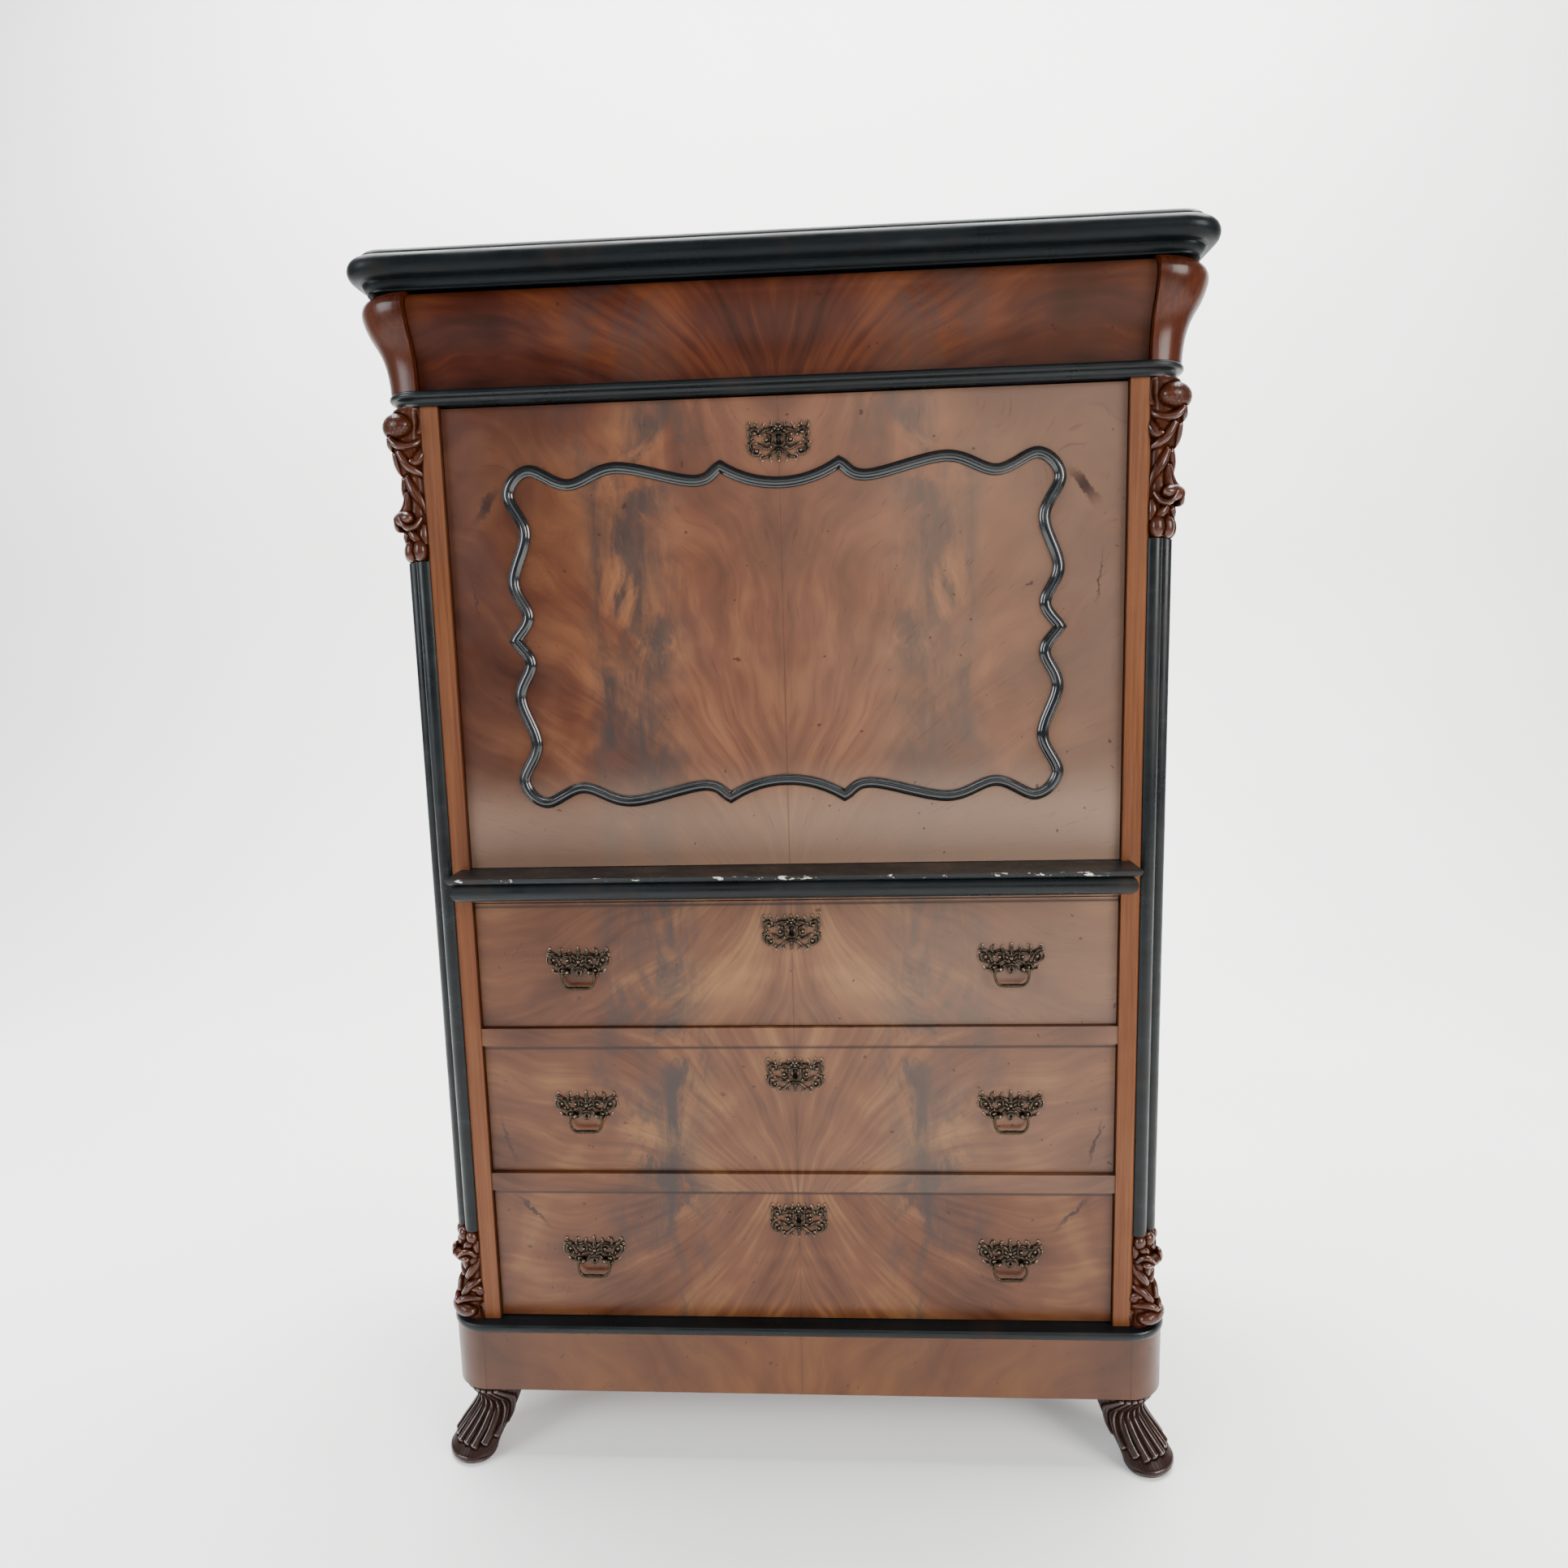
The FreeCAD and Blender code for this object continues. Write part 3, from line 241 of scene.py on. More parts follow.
class Finish:
    """A material being made; its methods add nodes and give back their outputs."""

    def __init__(self, name, roughness, specular, metallic=0.0):
        """A plain surface in the object's own coordinates."""
        self.material = bpy.data.materials.new(name)
        self.material.use_nodes = True
        self.tree = self.material.node_tree
        self.surface = self.tree.nodes["Principled BSDF"]
        self.surface.inputs["Roughness"].default_value = roughness
        self.surface.inputs["Specular IOR Level"].default_value = specular
        self.surface.inputs["Metallic"].default_value = metallic
        self.place = self.tree.nodes.new("ShaderNodeTexCoord").outputs["Object"]

    def add(self, kind, inputs, **settings):
        """A node with its settings, and with values or other outputs for its inputs."""
        node = self.tree.nodes.new(kind)
        for key, value in settings.items():
            setattr(node, key, value)
        for key, value in inputs.items():
            if isinstance(value, bpy.types.NodeSocket):
                self.tree.links.new(value, node.inputs[key])
            else:
                node.inputs[key].default_value = value
        return node

    def math(self, operation, a, b=0.0, clamp=False):
        """The result of one sum, clamped to 0..1 if asked for."""
        return self.add("ShaderNodeMath", {0: a, 1: b}, operation=operation, use_clamp=clamp).outputs[0]

    def times(self, a, b):
        """One value times another."""
        return self.math("MULTIPLY", a, b)

    def blend(self, a, share_a, b, share_b):
        """Two values added, each with its share."""
        return self.math("ADD", self.times(a, share_a), self.times(b, share_b))

    def axes(self):
        """The place's x, y and z."""
        parts = self.add("ShaderNodeSeparateXYZ", {0: self.place})
        return parts.outputs[0], parts.outputs[1], parts.outputs[2]

    def join(self, x, y, z):
        """A place made of its x, y and z."""
        return self.add("ShaderNodeCombineXYZ", {0: x, 1: y, 2: z}).outputs[0]

    def stretched(self, x, y, z, place=None):
        """The place with its x, y and z scaled."""
        scale = {0: place or self.place, 1: (x, y, z)}
        return self.add("ShaderNodeVectorMath", scale, operation="MULTIPLY").outputs[0]

    def noise(self, place, scale, detail, rough=0.5, bend=0.0):
        """Cloudy noise from 0 to 1."""
        inputs = {"Vector": place, "Scale": scale, "Detail": detail, "Roughness": rough, "Distortion": bend}
        return self.add("ShaderNodeTexNoise", inputs).outputs[0]

    def fade(self, value, low, high, start=0.0, end=1.0):
        """Maps value smoothly from low..high to start..end."""
        inputs = {"Value": value, "From Min": low, "From Max": high, "To Min": start, "To Max": end}
        return self.add("ShaderNodeMapRange", inputs, interpolation_type="SMOOTHSTEP").outputs[0]

    def hump(self, value, centre, half):
        """One at centre, falling smoothly to nothing at half either side."""
        away = self.math("ABSOLUTE", self.math("SUBTRACT", value, centre))
        return self.fade(away, 0.0, half, 1.0, 0.0)

    def ramp(self, value, *stops):
        """A colour for each value, from stops of position and colour."""
        node = self.add("ShaderNodeValToRGB", {0: value})
        marks = node.color_ramp.elements
        for i, (position, colour) in enumerate(stops):
            mark = marks[i] if i < len(marks) else marks.new(position)
            mark.position = position
            mark.color = srgb(colour)
        return node.outputs[0]

    def mix(self, amount, a, b):
        """Colour a turned into b by the amount."""
        node = self.add("ShaderNodeMix", {}, data_type="RGBA")
        for socket, value in ((node.inputs[0], amount), (node.inputs[6], a), (node.inputs[7], b)):
            if isinstance(value, bpy.types.NodeSocket):
                self.tree.links.new(value, socket)
            else:
                socket.default_value = srgb(value) if isinstance(value, str) else value
        return node.outputs[2]

    def colour(self, value):
        """Sets the surface's colour."""
        self.tree.links.new(value, self.surface.inputs["Base Color"])

    def rough(self, value):
        """Sets how rough the surface is."""
        self.tree.links.new(value, self.surface.inputs["Roughness"])

    def bump(self, height, depth):
        """Gives the surface a fine relief."""
        node = self.add("ShaderNodeBump", {"Height": height, "Distance": depth, "Strength": 1.0})
        self.tree.links.new(node.outputs[0], self.surface.inputs["Normal"])

    def polish(self, weight, roughness):
        """Lays a coat of varnish over the surface."""
        self.surface.inputs["Coat Weight"].default_value = weight
        self.surface.inputs["Coat Roughness"].default_value = roughness


# colours of marks and wear on the finishes, and of the painted sheen, painted shadow and painted highlight
SMOKE = "2a211f"
SHEEN_TINT = "7d6757"
JOINT = "33180e"
PORES = "2c150c"
NICKS = "2a1510"
RAIL_SHADOW = "1c0e09"
CRACKED = "27130d"
FIBRE_PORES = "2a160d"
RUBBED_WOOD = "d8b896"
BROWNED_BLACK = "23150e"
BARE_GROUND = "c9c2b8"
RUBBED_BRASS_HIGHLIGHT = "e4dccb"
GILT = "a98a48"

# cracks in the veneer: from and to, as distance from the centre line and height, and width
CRACKS = (((0.388, 1.285), (0.350, 1.335), 0.0080), ((0.385, 0.430), (0.405, 0.500), 0.0032),
          ((0.340, 0.335), (0.395, 0.395), 0.0036), ((0.386, 1.165), (0.394, 1.235), 0.0014))
CRACK_WANDER = 0.022

# smoky patches: distance from the centre line and half width of the inner and outer bands
SMOKE_INNER = (0.175, 0.085)
SMOKE_OUTER = (0.236, 0.030)
SMOKE_SWAY = 0.22

# lines on the veneer, the painted shadow under the rails, and the gilt line round the leather
SEAM_HALF = 0.0013
SHADOW_DROP = 0.0045
SHADOW_HALF = 0.0032
TOOLING_INSET = 0.012
TOOLING_HALF = 0.0016


def crack(f, u, z, start, end, width):
    """A fine dark zigzag line between two places, in distance from the centre line and height."""
    run = Vector(end) - Vector(start)
    along = run.normalized()
    wander = f.noise(f.place, 55.0, 3.0, 0.7)
    shift = f.times(f.math("SUBTRACT", wander, 0.5), CRACK_WANDER)
    du = f.math("SUBTRACT", u, start[0])
    dz = f.math("SUBTRACT", z, start[1])
    reach = f.blend(du, along.x, dz, along.y)
    off = f.math("SUBTRACT", f.times(dz, along.x), f.times(du, along.y))
    away = f.math("ABSOLUTE", f.math("ADD", off, shift))
    line = f.fade(away, width * 0.4, width, 1.0, 0.0)
    return f.times(line, f.hump(reach, run.length / 2, run.length * 0.6))


def flame_rays(f, u, y, z, drift, focus, bend):
    """Broad, fine and finest streaks that fan out from the focus and bend like a feather's barbs."""
    height = f.math("SUBTRACT", z, focus)
    far = f.math("SQRT", f.math("ADD", f.times(u, u), f.times(height, height)))
    turn = f.math("SUBTRACT", f.math("ARCTAN2", u, height), f.times(far, bend))
    turn = f.math("ADD", turn, f.times(drift, 0.40))
    broad = f.noise(f.join(f.times(far, 2.4), y, f.times(turn, 4.2)), 1.0, 4.0, 0.6, 0.5)
    fine = f.noise(f.join(f.times(far, 7.0), y, f.times(turn, 26.0)), 1.0, 4.0, 0.6, 0.4)
    grain = f.noise(f.join(f.times(far, 30.0), y, f.times(turn, 170.0)), 1.0, 2.0, 0.6)
    return broad, fine, grain


def smoky_haze(f, u, mirrored_place):
    """How much smoke lies on a place: patches either side of the centre, broken up and feathered."""
    feather = f.noise(f.stretched(34.0, 1.0, 9.0, mirrored_place), 1.0, 4.0, 0.65, 0.9)
    bends = f.noise(f.stretched(0.0, 0.0, 6.0), 1.0, 4.0, 0.6)
    sway = f.times(f.math("SUBTRACT", bends, 0.5), SMOKE_SWAY)
    inner = f.hump(f.math("ADD", u, sway), *SMOKE_INNER)
    outer = f.times(f.hump(f.math("SUBTRACT", u, sway), *SMOKE_OUTER), 0.55)
    broken = f.noise(f.stretched(11.0, 1.0, 5.5, mirrored_place), 1.0, 5.0, 0.68, 0.9)
    haze = f.math("MULTIPLY", f.math("ADD", inner, outer), f.fade(broken, 0.38, 0.53), True)
    return f.times(haze, f.fade(feather, 0.30, 0.60, 0.35, 1.0))


def painted_sheen(f, wood, x, z, sheen):
    """The wood made lighter and greyer towards the right and towards the bottom by a painted sheen."""
    rightward = f.times(f.fade(x, -0.34, 0.36), sheen[0])
    downward = f.times(f.fade(z, 0.99, 0.90), sheen[1])
    return f.mix(f.math("ADD", rightward, downward, True), wood, SHEEN_TINT)


def marked(f, wood, u, z, drift, grain, seams, shadow_edge, cracks):
    """The wood with its centre joint, pores, small nicks, seams, a painted shadow under the rail and cracks.
    """
    joint = f.fade(f.math("ADD", u, f.times(drift, 0.002)), 0.0003, 0.0014, 0.35, 0.0)
    wood = f.mix(joint, wood, JOINT)
    wood = f.mix(f.fade(grain, 0.62, 0.74, 0.0, 0.30), wood, PORES)
    specks = f.noise(f.place, 95.0, 1.0, 0.5)
    wood = f.mix(f.fade(specks, 0.755, 0.79, 0.0, 0.7), wood, NICKS)
    for seam in seams:
        wood = f.mix(f.hump(u, seam, SEAM_HALF), wood, NICKS)
    if shadow_edge:
        # painted shadow: a dark band just below a drawer front's top edge, where the rail above shades it
        wood = f.mix(f.times(f.hump(z, shadow_edge - SHADOW_DROP, SHADOW_HALF), 0.85), wood, RAIL_SHADOW)
    for start, end, width in cracks:
        wood = f.mix(crack(f, u, z, start, end, width), wood, CRACKED)
    return wood


def flame_mahogany(name, colours, smoke_amount, focus, bend, sheen=(0.0, 0.0), flushed=0.2, gloss=0.12,
                   cracks=(), seams=(), shadow_edge=0.0):
    """Book-matched crotch mahogany: rays fan out from a focus on the centre line, under smoky patches.

    The pair after bend tells how much a painted sheen lightens it towards the right and towards the bottom,
    and flushed how much darker it is towards its ends. Dark joints run up at the seams; the last argument is
    the height of a drawer front's top edge, just under which a painted shadow of the rail above lies.
    """
    dark, middle, light = colours
    f = Finish(name, 0.36, 2 * gloss)
    x, y, z = f.axes()
    u = f.math("ABSOLUTE", x)
    mirrored_place = f.join(u, y, z)
    drift = f.math("SUBTRACT", f.noise(mirrored_place, 4.0, 2.0), 0.5)
    broad, fine, grain = flame_rays(f, u, y, z, drift, focus, bend)
    clouds = f.noise(mirrored_place, 5.0, 3.0, 0.55, 0.6)
    tone = f.math("ADD", f.blend(broad, 0.44, clouds, 0.38), f.times(fine, 0.18))
    wood = f.ramp(tone, (0.39, dark), (0.50, middle), (0.61, light))
    flush = f.fade(f.math("ADD", u, f.times(drift, 0.3)), 0.17, 0.34, 0.0, flushed)
    wood = f.mix(flush, wood, dark)
    wood = f.mix(f.times(smoky_haze(f, u, mirrored_place), smoke_amount), wood, SMOKE)
    # painted sheen: the wood is made lighter and greyer towards the right and towards the bottom
    wood = painted_sheen(f, wood, x, z, sheen)
    f.colour(marked(f, wood, u, z, drift, grain, seams, shadow_edge, cracks))
    worn = f.noise(f.place, 9.0, 4.0, 0.6)
    f.rough(f.fade(worn, 0.3, 0.7, 0.27, 0.44))
    f.bump(f.blend(fine, 0.5, grain, 0.15), 0.00025)
    f.polish(gloss, 0.25)
    return f.material


def straight_wood(name, along, dark, light, roughness, ring=26.0, wear=0.0):
    """Plain straight grain along one axis, with pores and, if worn, rubbed pale places."""
    f = Finish(name, roughness, 0.18)
    stretch = [ring] * 3
    stretch["xyz".index(along)] = 1.2
    broad = f.noise(f.stretched(*stretch), 1.0, 3.0, 0.6, 0.8)
    fibres = f.noise(f.stretched(*[s * 9.0 for s in stretch]), 1.0, 3.0, 0.65)
    tone = f.blend(broad, 0.65, fibres, 0.35)
    wood = f.ramp(tone, (0.34, dark), (0.66, light))
    blotch = f.noise(f.place, 6.0, 3.0, 0.6)
    wood = f.mix(f.fade(blotch, 0.35, 0.7, 0.0, 0.35), wood, dark)
    wood = f.mix(f.fade(fibres, 0.66, 0.76, 0.0, 0.4), wood, FIBRE_PORES)
    if wear:
        rubbed = f.noise(f.stretched(30.0, 30.0, 7.0), 1.0, 5.0, 0.7)
        wood = f.mix(f.fade(rubbed, 0.66, 0.72, 0.0, wear), wood, RUBBED_WOOD)
    f.colour(wood)
    f.rough(f.fade(blotch, 0.3, 0.7, roughness - 0.06, roughness + 0.12))
    f.bump(fibres, 0.0002)
    return f.material


def ebonised(name, flecks=(), specular=0.2, dullness=0.35):
    """Black polish over wood, dull in patches, rubbed to a pale ground along the edges named in flecks."""
    f = Finish(name, dullness, specular)
    x, y, z = f.axes()
    streak = f.noise(f.stretched(5.0, 60.0, 60.0), 1.0, 4.0, 0.6)
    blotch = f.noise(f.place, 14.0, 4.0, 0.62)
    paint = f.ramp(streak, (0.30, "070a0b"), (0.62, "0f1315"), (0.80, "1f2527"))
    paint = f.mix(f.fade(blotch, 0.56, 0.74, 0.0, 0.4), paint, BROWNED_BLACK)
    chips = f.noise(f.stretched(38.0, 90.0, 90.0), 1.0, 4.0, 0.7)
    for axis, place, half in flecks:
        band = f.hump((x, y, z)["xyz".index(axis)], place, half)
        chipped = f.times(band, f.fade(chips, 0.60, 0.64))
        paint = f.mix(chipped, paint, BARE_GROUND)
    f.colour(paint)
    f.rough(f.fade(blotch, 0.3, 0.7, dullness - 0.11, dullness + 0.11))
    f.bump(f.blend(streak, 0.5, blotch, 0.5), 0.00035)
    return f.material


def hollows(f, dark, light):
    """How far a place is a crease (0) or a ridge (1)."""
    return f.fade(f.add("ShaderNodeNewGeometry", {}).outputs["Pointiness"], dark, light)


def carved_mahogany(name, dark, middle, light):
    """Polished carving: painted shade darkens the creases, and the ridges are lighter and redder."""
    f = Finish(name, 0.33, 0.3)
    ridge = hollows(f, 0.44, 0.60)
    grain = f.noise(f.stretched(70.0, 70.0, 9.0), 1.0, 4.0, 0.6, 0.6)
    blotch = f.noise(f.place, 30.0, 3.0, 0.6)
    # painted shade: the colour darkens in the creases and lightens on the ridges
    tone = f.blend(ridge, 0.62, grain, 0.38)
    wood = f.ramp(tone, (0.22, dark), (0.52, middle), (0.86, light))
    wood = f.mix(f.fade(blotch, 0.5, 0.75, 0.0, 0.45), wood, dark)
    f.colour(wood)
    f.rough(f.fade(ridge, 0.1, 0.5, 0.7, 0.2))
    shine = f.fade(ridge, 0.25, 0.7, 0.0, 0.8)
    f.tree.links.new(shine, f.surface.inputs["Specular IOR Level"])
    f.bump(f.blend(grain, 0.4, blotch, 0.6), 0.0004)
    return f.material


def aged_brass(name, dark, light, roughness):
    """Cast brass gone brown in the hollows, and bright on the ridges where fingers rub it and where a
    highlight is painted.
    """
    f = Finish(name, roughness, 0.5, 0.9)
    ridge = hollows(f, 0.45, 0.62)
    spots = f.noise(f.place, 260.0, 3.0, 0.6)
    tone = f.blend(ridge, 0.82, spots, 0.18)
    # painted highlight and rubbing: the ridges run up to near white; the brown in the hollows is patina
    f.colour(f.ramp(tone, (0.30, dark), (0.60, light), (0.88, RUBBED_BRASS_HIGHLIGHT)))
    f.rough(f.fade(spots, 0.3, 0.7, roughness - 0.1, roughness + 0.15))
    f.bump(spots, 0.0003)
    return f.material


def green_leather(name):
    """Thin tooled leather with a fine pebbled grain."""
    f = Finish(name, 0.5, 0.4)
    pebbles = f.add("ShaderNodeTexVoronoi", {"Vector": f.place, "Scale": 620.0}).outputs["Distance"]
    rubs = f.noise(f.place, 9.0, 4.0, 0.6)
    hide = f.ramp(rubs, (0.30, "1d2c1e"), (0.60, "2f4630"), (0.85, "4c5e41"))
    x, _, z = f.axes()
    low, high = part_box("writing_leather")
    side = f.hump(f.math("ABSOLUTE", x), high.x - TOOLING_INSET, TOOLING_HALF)
    lower = f.hump(z, low.z + TOOLING_INSET, TOOLING_HALF)
    upper = f.hump(z, high.z - TOOLING_INSET, TOOLING_HALF)
    tooled = f.math("MAXIMUM", side, f.math("MAXIMUM", lower, upper))
    hide = f.mix(f.times(tooled, 0.8), hide, GILT)
    f.colour(hide)
    f.rough(f.fade(rubs, 0.3, 0.7, 0.42, 0.6))
    f.bump(pebbles, 0.0002)
    return f.material


def plain_floor(name):
    """A pale matt floor."""
    f = Finish(name, 0.6, 0.2)
    f.colour(f.ramp(f.noise(f.place, 1.3, 2.0), (0.3, "ececea"), (0.7, "f1f1ef")))
    return f.material


# ---------------------------------------------------------------- carvings
def on_corner(out, across, z):
    """A place on the right-hand canted corner, in metres."""
    diagonal = math.sqrt(0.5)
    return Vector((CORNER.x + (out + across) * diagonal, CORNER.y + (across - out) * diagonal, z))


SUNK = 1.2  # millimetres that the carved ridges lie in the flanks
SCROLL_LENGTH = 0.187  # the length that the carving is drawn for
CARVING_VOXEL = 0.0010
BOTTOM_DEPTH = 0.86  # relief of the bottom carving against the top one
BACK_OUT = -1.5  # the carving's back, behind the canted face

# a carving's body: t, half its width, relief
SCROLL_BODY = (
    (0.0, 24, 20), (0.04, 24, 23), (0.12, 23, 21), (0.20, 23, 25), (0.27, 22, 24), (0.34, 21, 19),
    (0.44, 20, 13), (0.53, 20, 12), (0.61, 20, 14), (0.67, 21, 17), (0.74, 21, 17), (0.80, 21, 14),
    (0.86, 20, 14), (0.92, 20, 14), (0.985, 18, 12))

# ridges: places as (t, out, across), then radii. A fat ribbon curls down beside the volute's eye, a collar
# passes below it, and two folds hang from the collar
VOLUTE_RIDGES = (
    (((0.015, 4, 20), (0.045, -1, 21), (0.09, -3, 22), (0.14, -1, 22), (0.175, 6, 21)),
     (4.6, 6.0, 6.4, 5.6, 2.6)),
    (((0.195, 31, 2), (0.238, 26, 9), (0.250, 16, 16), (0.232, 6, 20), (0.20, -2, 21)),
     (3.4, 4.8, 5.4, 5.0, 3.4)),
    (((0.27, -1, 20), (0.305, 1, 21), (0.345, 7, 20), (0.345, 14, 18)), (5.6, 7.4, 6.4, 3.0)),
    (((0.28, 22, 7), (0.36, 16, 13), (0.405, 8, 18), (0.43, -1, 20)), (5.0, 5.6, 5.2, 3.6)))

# the waist: two fat ridges a side that cross towards the stile
WAIST_RIDGES = (
    (((0.44, 12, 5), (0.52, 9, 12), (0.60, 3, 17), (0.68, -1, 19)), (5.4, 6.8, 6.4, 4.4)),
    (((0.54, 10, 2), (0.63, 12, 6), (0.685, 18, 8), (0.70, 22, 8)), (5.8, 7.0, 6.4, 5.0)))

# below the curl: its rim, and a folded leaf
CURL_RIDGES = (
    (((0.71, 29, 8), (0.775, 23, 14), (0.765, 13, 18), (0.71, 5, 20)), (2.0, 3.8, 4.2, 3.0)),
    (((0.80, 13, 8), (0.84, 11, 14), (0.89, 6, 19)), (5.6, 5.6, 3.6)),
    (((0.76, 2, 19), (0.82, 3, 20), (0.88, 2, 20)), (5.0, 5.6, 4.4)))

# lobes: t, out, across, then half sizes out, across and along
VOLUTE_EYE = (0.120, 19.0, 0, 17.0, 26, 17.0)
LEAF_CURL = (0.715, 20.5, 0, 9.6, 23, 9.6)
PETALS = ((0.925, 7.5, -15, 8.4, 9.4, 14.0), (0.925, 12.5, 0, 8.4, 9.4, 14.0),
          (0.925, 7.5, 15, 8.4, 9.4, 14.0))


def scroll_carving(name, ball_z, tip_z, depth, material):
    """A carved bracket: a rolled volute at one end, a waist, a curled leaf and three hanging petals.

    Places are t, from the volute's end (0) to the petals' tips (1), then millimetres out and across.
    """
    length = tip_z - ball_z
    thin = abs(length) / SCROLL_LENGTH
    rise = Vector((0, 0, length)) / abs(length)
    outward = on_corner(1, 0, 0) - on_corner(0, 0, 0)
    sideways = on_corner(0, 1, 0) - on_corner(0, 0, 0)

    def spot(t, out, across):
        """A place on the bracket."""
        return on_corner(CANT + out * MM * depth, across * MM, ball_z + t * length)

    def add_swelling(t, out, across, half_out, half_across, half_z):
        """A rounded lobe."""
        axes = (outward * half_out * MM * depth, sideways * half_across * MM, rise * half_z * MM * thin)
        add_lobe(mesh, spot(t, out, across), axes)

    def add_ridges(ridges):
        """Ridges on both flanks."""
        for places, radii in ridges:
            for side in (-1, 1):
                line = [spot(t, out, side * (across - SUNK)) for t, out, across in places]
                add_tube(mesh, line, [radius * MM for radius in radii])

    mesh = bmesh.new()
    rings = []
    for t, half, relief in SCROLL_BODY:
        turns = [math.pi * i / 16 for i in range(17)]
        front = [spot(t, relief * math.sin(a) ** 0.6, -half * math.cos(a)) for a in turns]
        rings.append([spot(t, BACK_OUT, -half), *front, spot(t, BACK_OUT, half)])
    add_loft(mesh, rings)
    add_swelling(*VOLUTE_EYE)
    add_ridges(VOLUTE_RIDGES + WAIST_RIDGES)
    add_swelling(*LEAF_CURL)
    add_ridges(CURL_RIDGES)
    for petal in PETALS:
        add_swelling(*petal)
    piece = make_object(name, mesh, material)
    fuse(piece, CARVING_VOXEL, 5)
    return piece


FOOT_SECTIONS = (  # height, centre's distance out, half size out, half size across, in millimetres
    (0.5, 42, 28, 34), (5, 43, 31, 37), (12, 42, 32, 38), (22, 35, 31, 37), (33, 25, 29, 36),
    (44, 14, 27, 34), (56, 4, 26, 33), (68, -2, 26, 34), (80, -3, 30, 38), (92, 0, 38, 44),
    (101, 2, 42, 48), (108, 2, 44, 50))
FLUTE_LIFT = 3.2  # of the leaf's flutes above the foot's skin
FLUTE_HEIGHTS = (102, 90, 76, 62, 49, 37, 28, 22)
FLUTES = (  # degrees from the toe, size against the middle one, how much sooner it ends
    (0, 1.0, 0), (22, 0.97, 1), (44, 0.93, 0), (66, 0.9, 3), (88, 0.82, 9), (111, 0.7, 18))
RIB_LIFT = 2.5  # of the sharp ribs above the foot's skin
RIB_PLACES = ((98, 0.5), (82, 0.62), (64, 0.78), (48, 0.92), (34, 1.0))  # height, part of the flute's degrees
RIB_RADII = (0.9, 1.4, 1.6, 1.5, 0.7)
TOE_HEIGHT = 8
TOE_LIFT = -5.0
TOE_DEGREES = (-110, -75, -40, 0, 40, 75, 110)
TOE_RADII = (4, 6, 7, 7, 7, 6, 4)
FOOT_VOXEL = 0.0011


def foot_skin(z, turn, lift):
    """A place on the foot at a height and an angle from its toe, lifted off its surface."""
    lower, upper = FOOT_SECTIONS[0], FOOT_SECTIONS[1]
    for pair in zip(FOOT_SECTIONS, FOOT_SECTIONS[1:]):
        if pair[0][0] <= z:
            lower, upper = pair
    part = (z - lower[0]) / (upper[0] - lower[0])
    out, half_out, half_across = [a + (b - a) * part for a, b in zip(lower[1:], upper[1:])]
    out += (half_out + lift) * math.cos(turn)
    return on_corner(out * MM, (half_across + lift) * math.sin(turn) * MM, z * MM)


def add_flute(mesh, degrees, size, low):
    """A broad flute of the leaf, sunk in the foot's skin, fanning out towards the toe."""
    places, radii = [], []
    for i, height in enumerate(FLUTE_HEIGHTS):
        spread = 0.50 + 0.50 * min(i / 5, 1.0)
        radius = (3.4 + 6.2 * math.sin(math.pi * min(i + 1, 7) / 9)) * size
        places.append(foot_skin(height + low * i / 7, math.radians(degrees * spread), FLUTE_LIFT - radius))
        radii.append(radius * MM)
    add_tube(mesh, places, radii)


def front_foot(name, material):
    """A splayed scroll foot: an acanthus leaf falls from the ankle over the instep onto the rolled toe."""
    mesh = bmesh.new()
    rings = [[foot_skin(section[0], math.tau * i / 40, 0.0) for i in range(40)] for section in FOOT_SECTIONS]
    add_loft(mesh, rings)
    for degrees, size, low in FLUTES:
        for side in ((-1, 1) if degrees else (1,)):
            add_flute(mesh, side * degrees, size, low)
    # sharp ribs along the middle of the flutes, but for the last pair
    for degrees, *_ in FLUTES[:-1]:
        for side in (-1, 1):
            rib = [foot_skin(z, math.radians(degrees * k) * side, RIB_LIFT) for z, k in RIB_PLACES]
            add_tube(mesh, rib, [radius * MM for radius in RIB_RADII])
    # the rolled toe under the leaf
    toe = [foot_skin(TOE_HEIGHT, math.radians(degrees), TOE_LIFT) for degrees in TOE_DEGREES]
    add_tube(mesh, toe, [radius * MM for radius in TOE_RADII])
    piece = make_object(name, mesh, material)
    fuse(piece, FOOT_VOXEL, 2)
    for vert in piece.data.vertices:
        vert.co.z = min(max(vert.co.z, 0.0), FOOT_TOP)
    return piece


# ---------------------------------------------------------------- the serpentine moulding
def frame_outline():
    """The moulding's closed centre line, in x and height from its middle, clockwise from the top cusp."""
    waves = [Vector(FRAME_CUSP), *[Vector(place) for place in FRAME_WAVES], Vector(FRAME_SIDE)]
    right = smooth_path(waves, 12)[:-1]
    lower = [Vector((place.x, -place.y)) for place in smooth_path(waves, 12)[::-1]][:-1]
    sag = FRAME_CUSP[1] - FRAME_ARCH
    radius = (FRAME_CUSP[0] ** 2 + sag ** 2) / (2 * sag)
    sweep = math.asin(FRAME_CUSP[0] / radius)
    arch = []
    for i in range(16):
        turn = sweep * (1 - 2 * i / 16)
        arch.append(Vector((radius * math.sin(turn), -(FRAME_ARCH + radius * (1 - math.cos(turn))))))
    half = right + lower + arch
    return half + [-place for place in half]


FLAP_PROFILE = (  # across and proud, in millimetres
    (-7.0, 0.0), (-6.9, 1.8), (-5.6, 2.6), (-4.6, 3.2), (-3.8, 4.9), (-2.0, 6.2), (2.0, 6.2),
    (3.8, 4.9), (4.6, 3.2), (5.6, 2.6), (6.9, 1.8), (7.0, 0.0))
SHARPEST_MITRE = 0.35


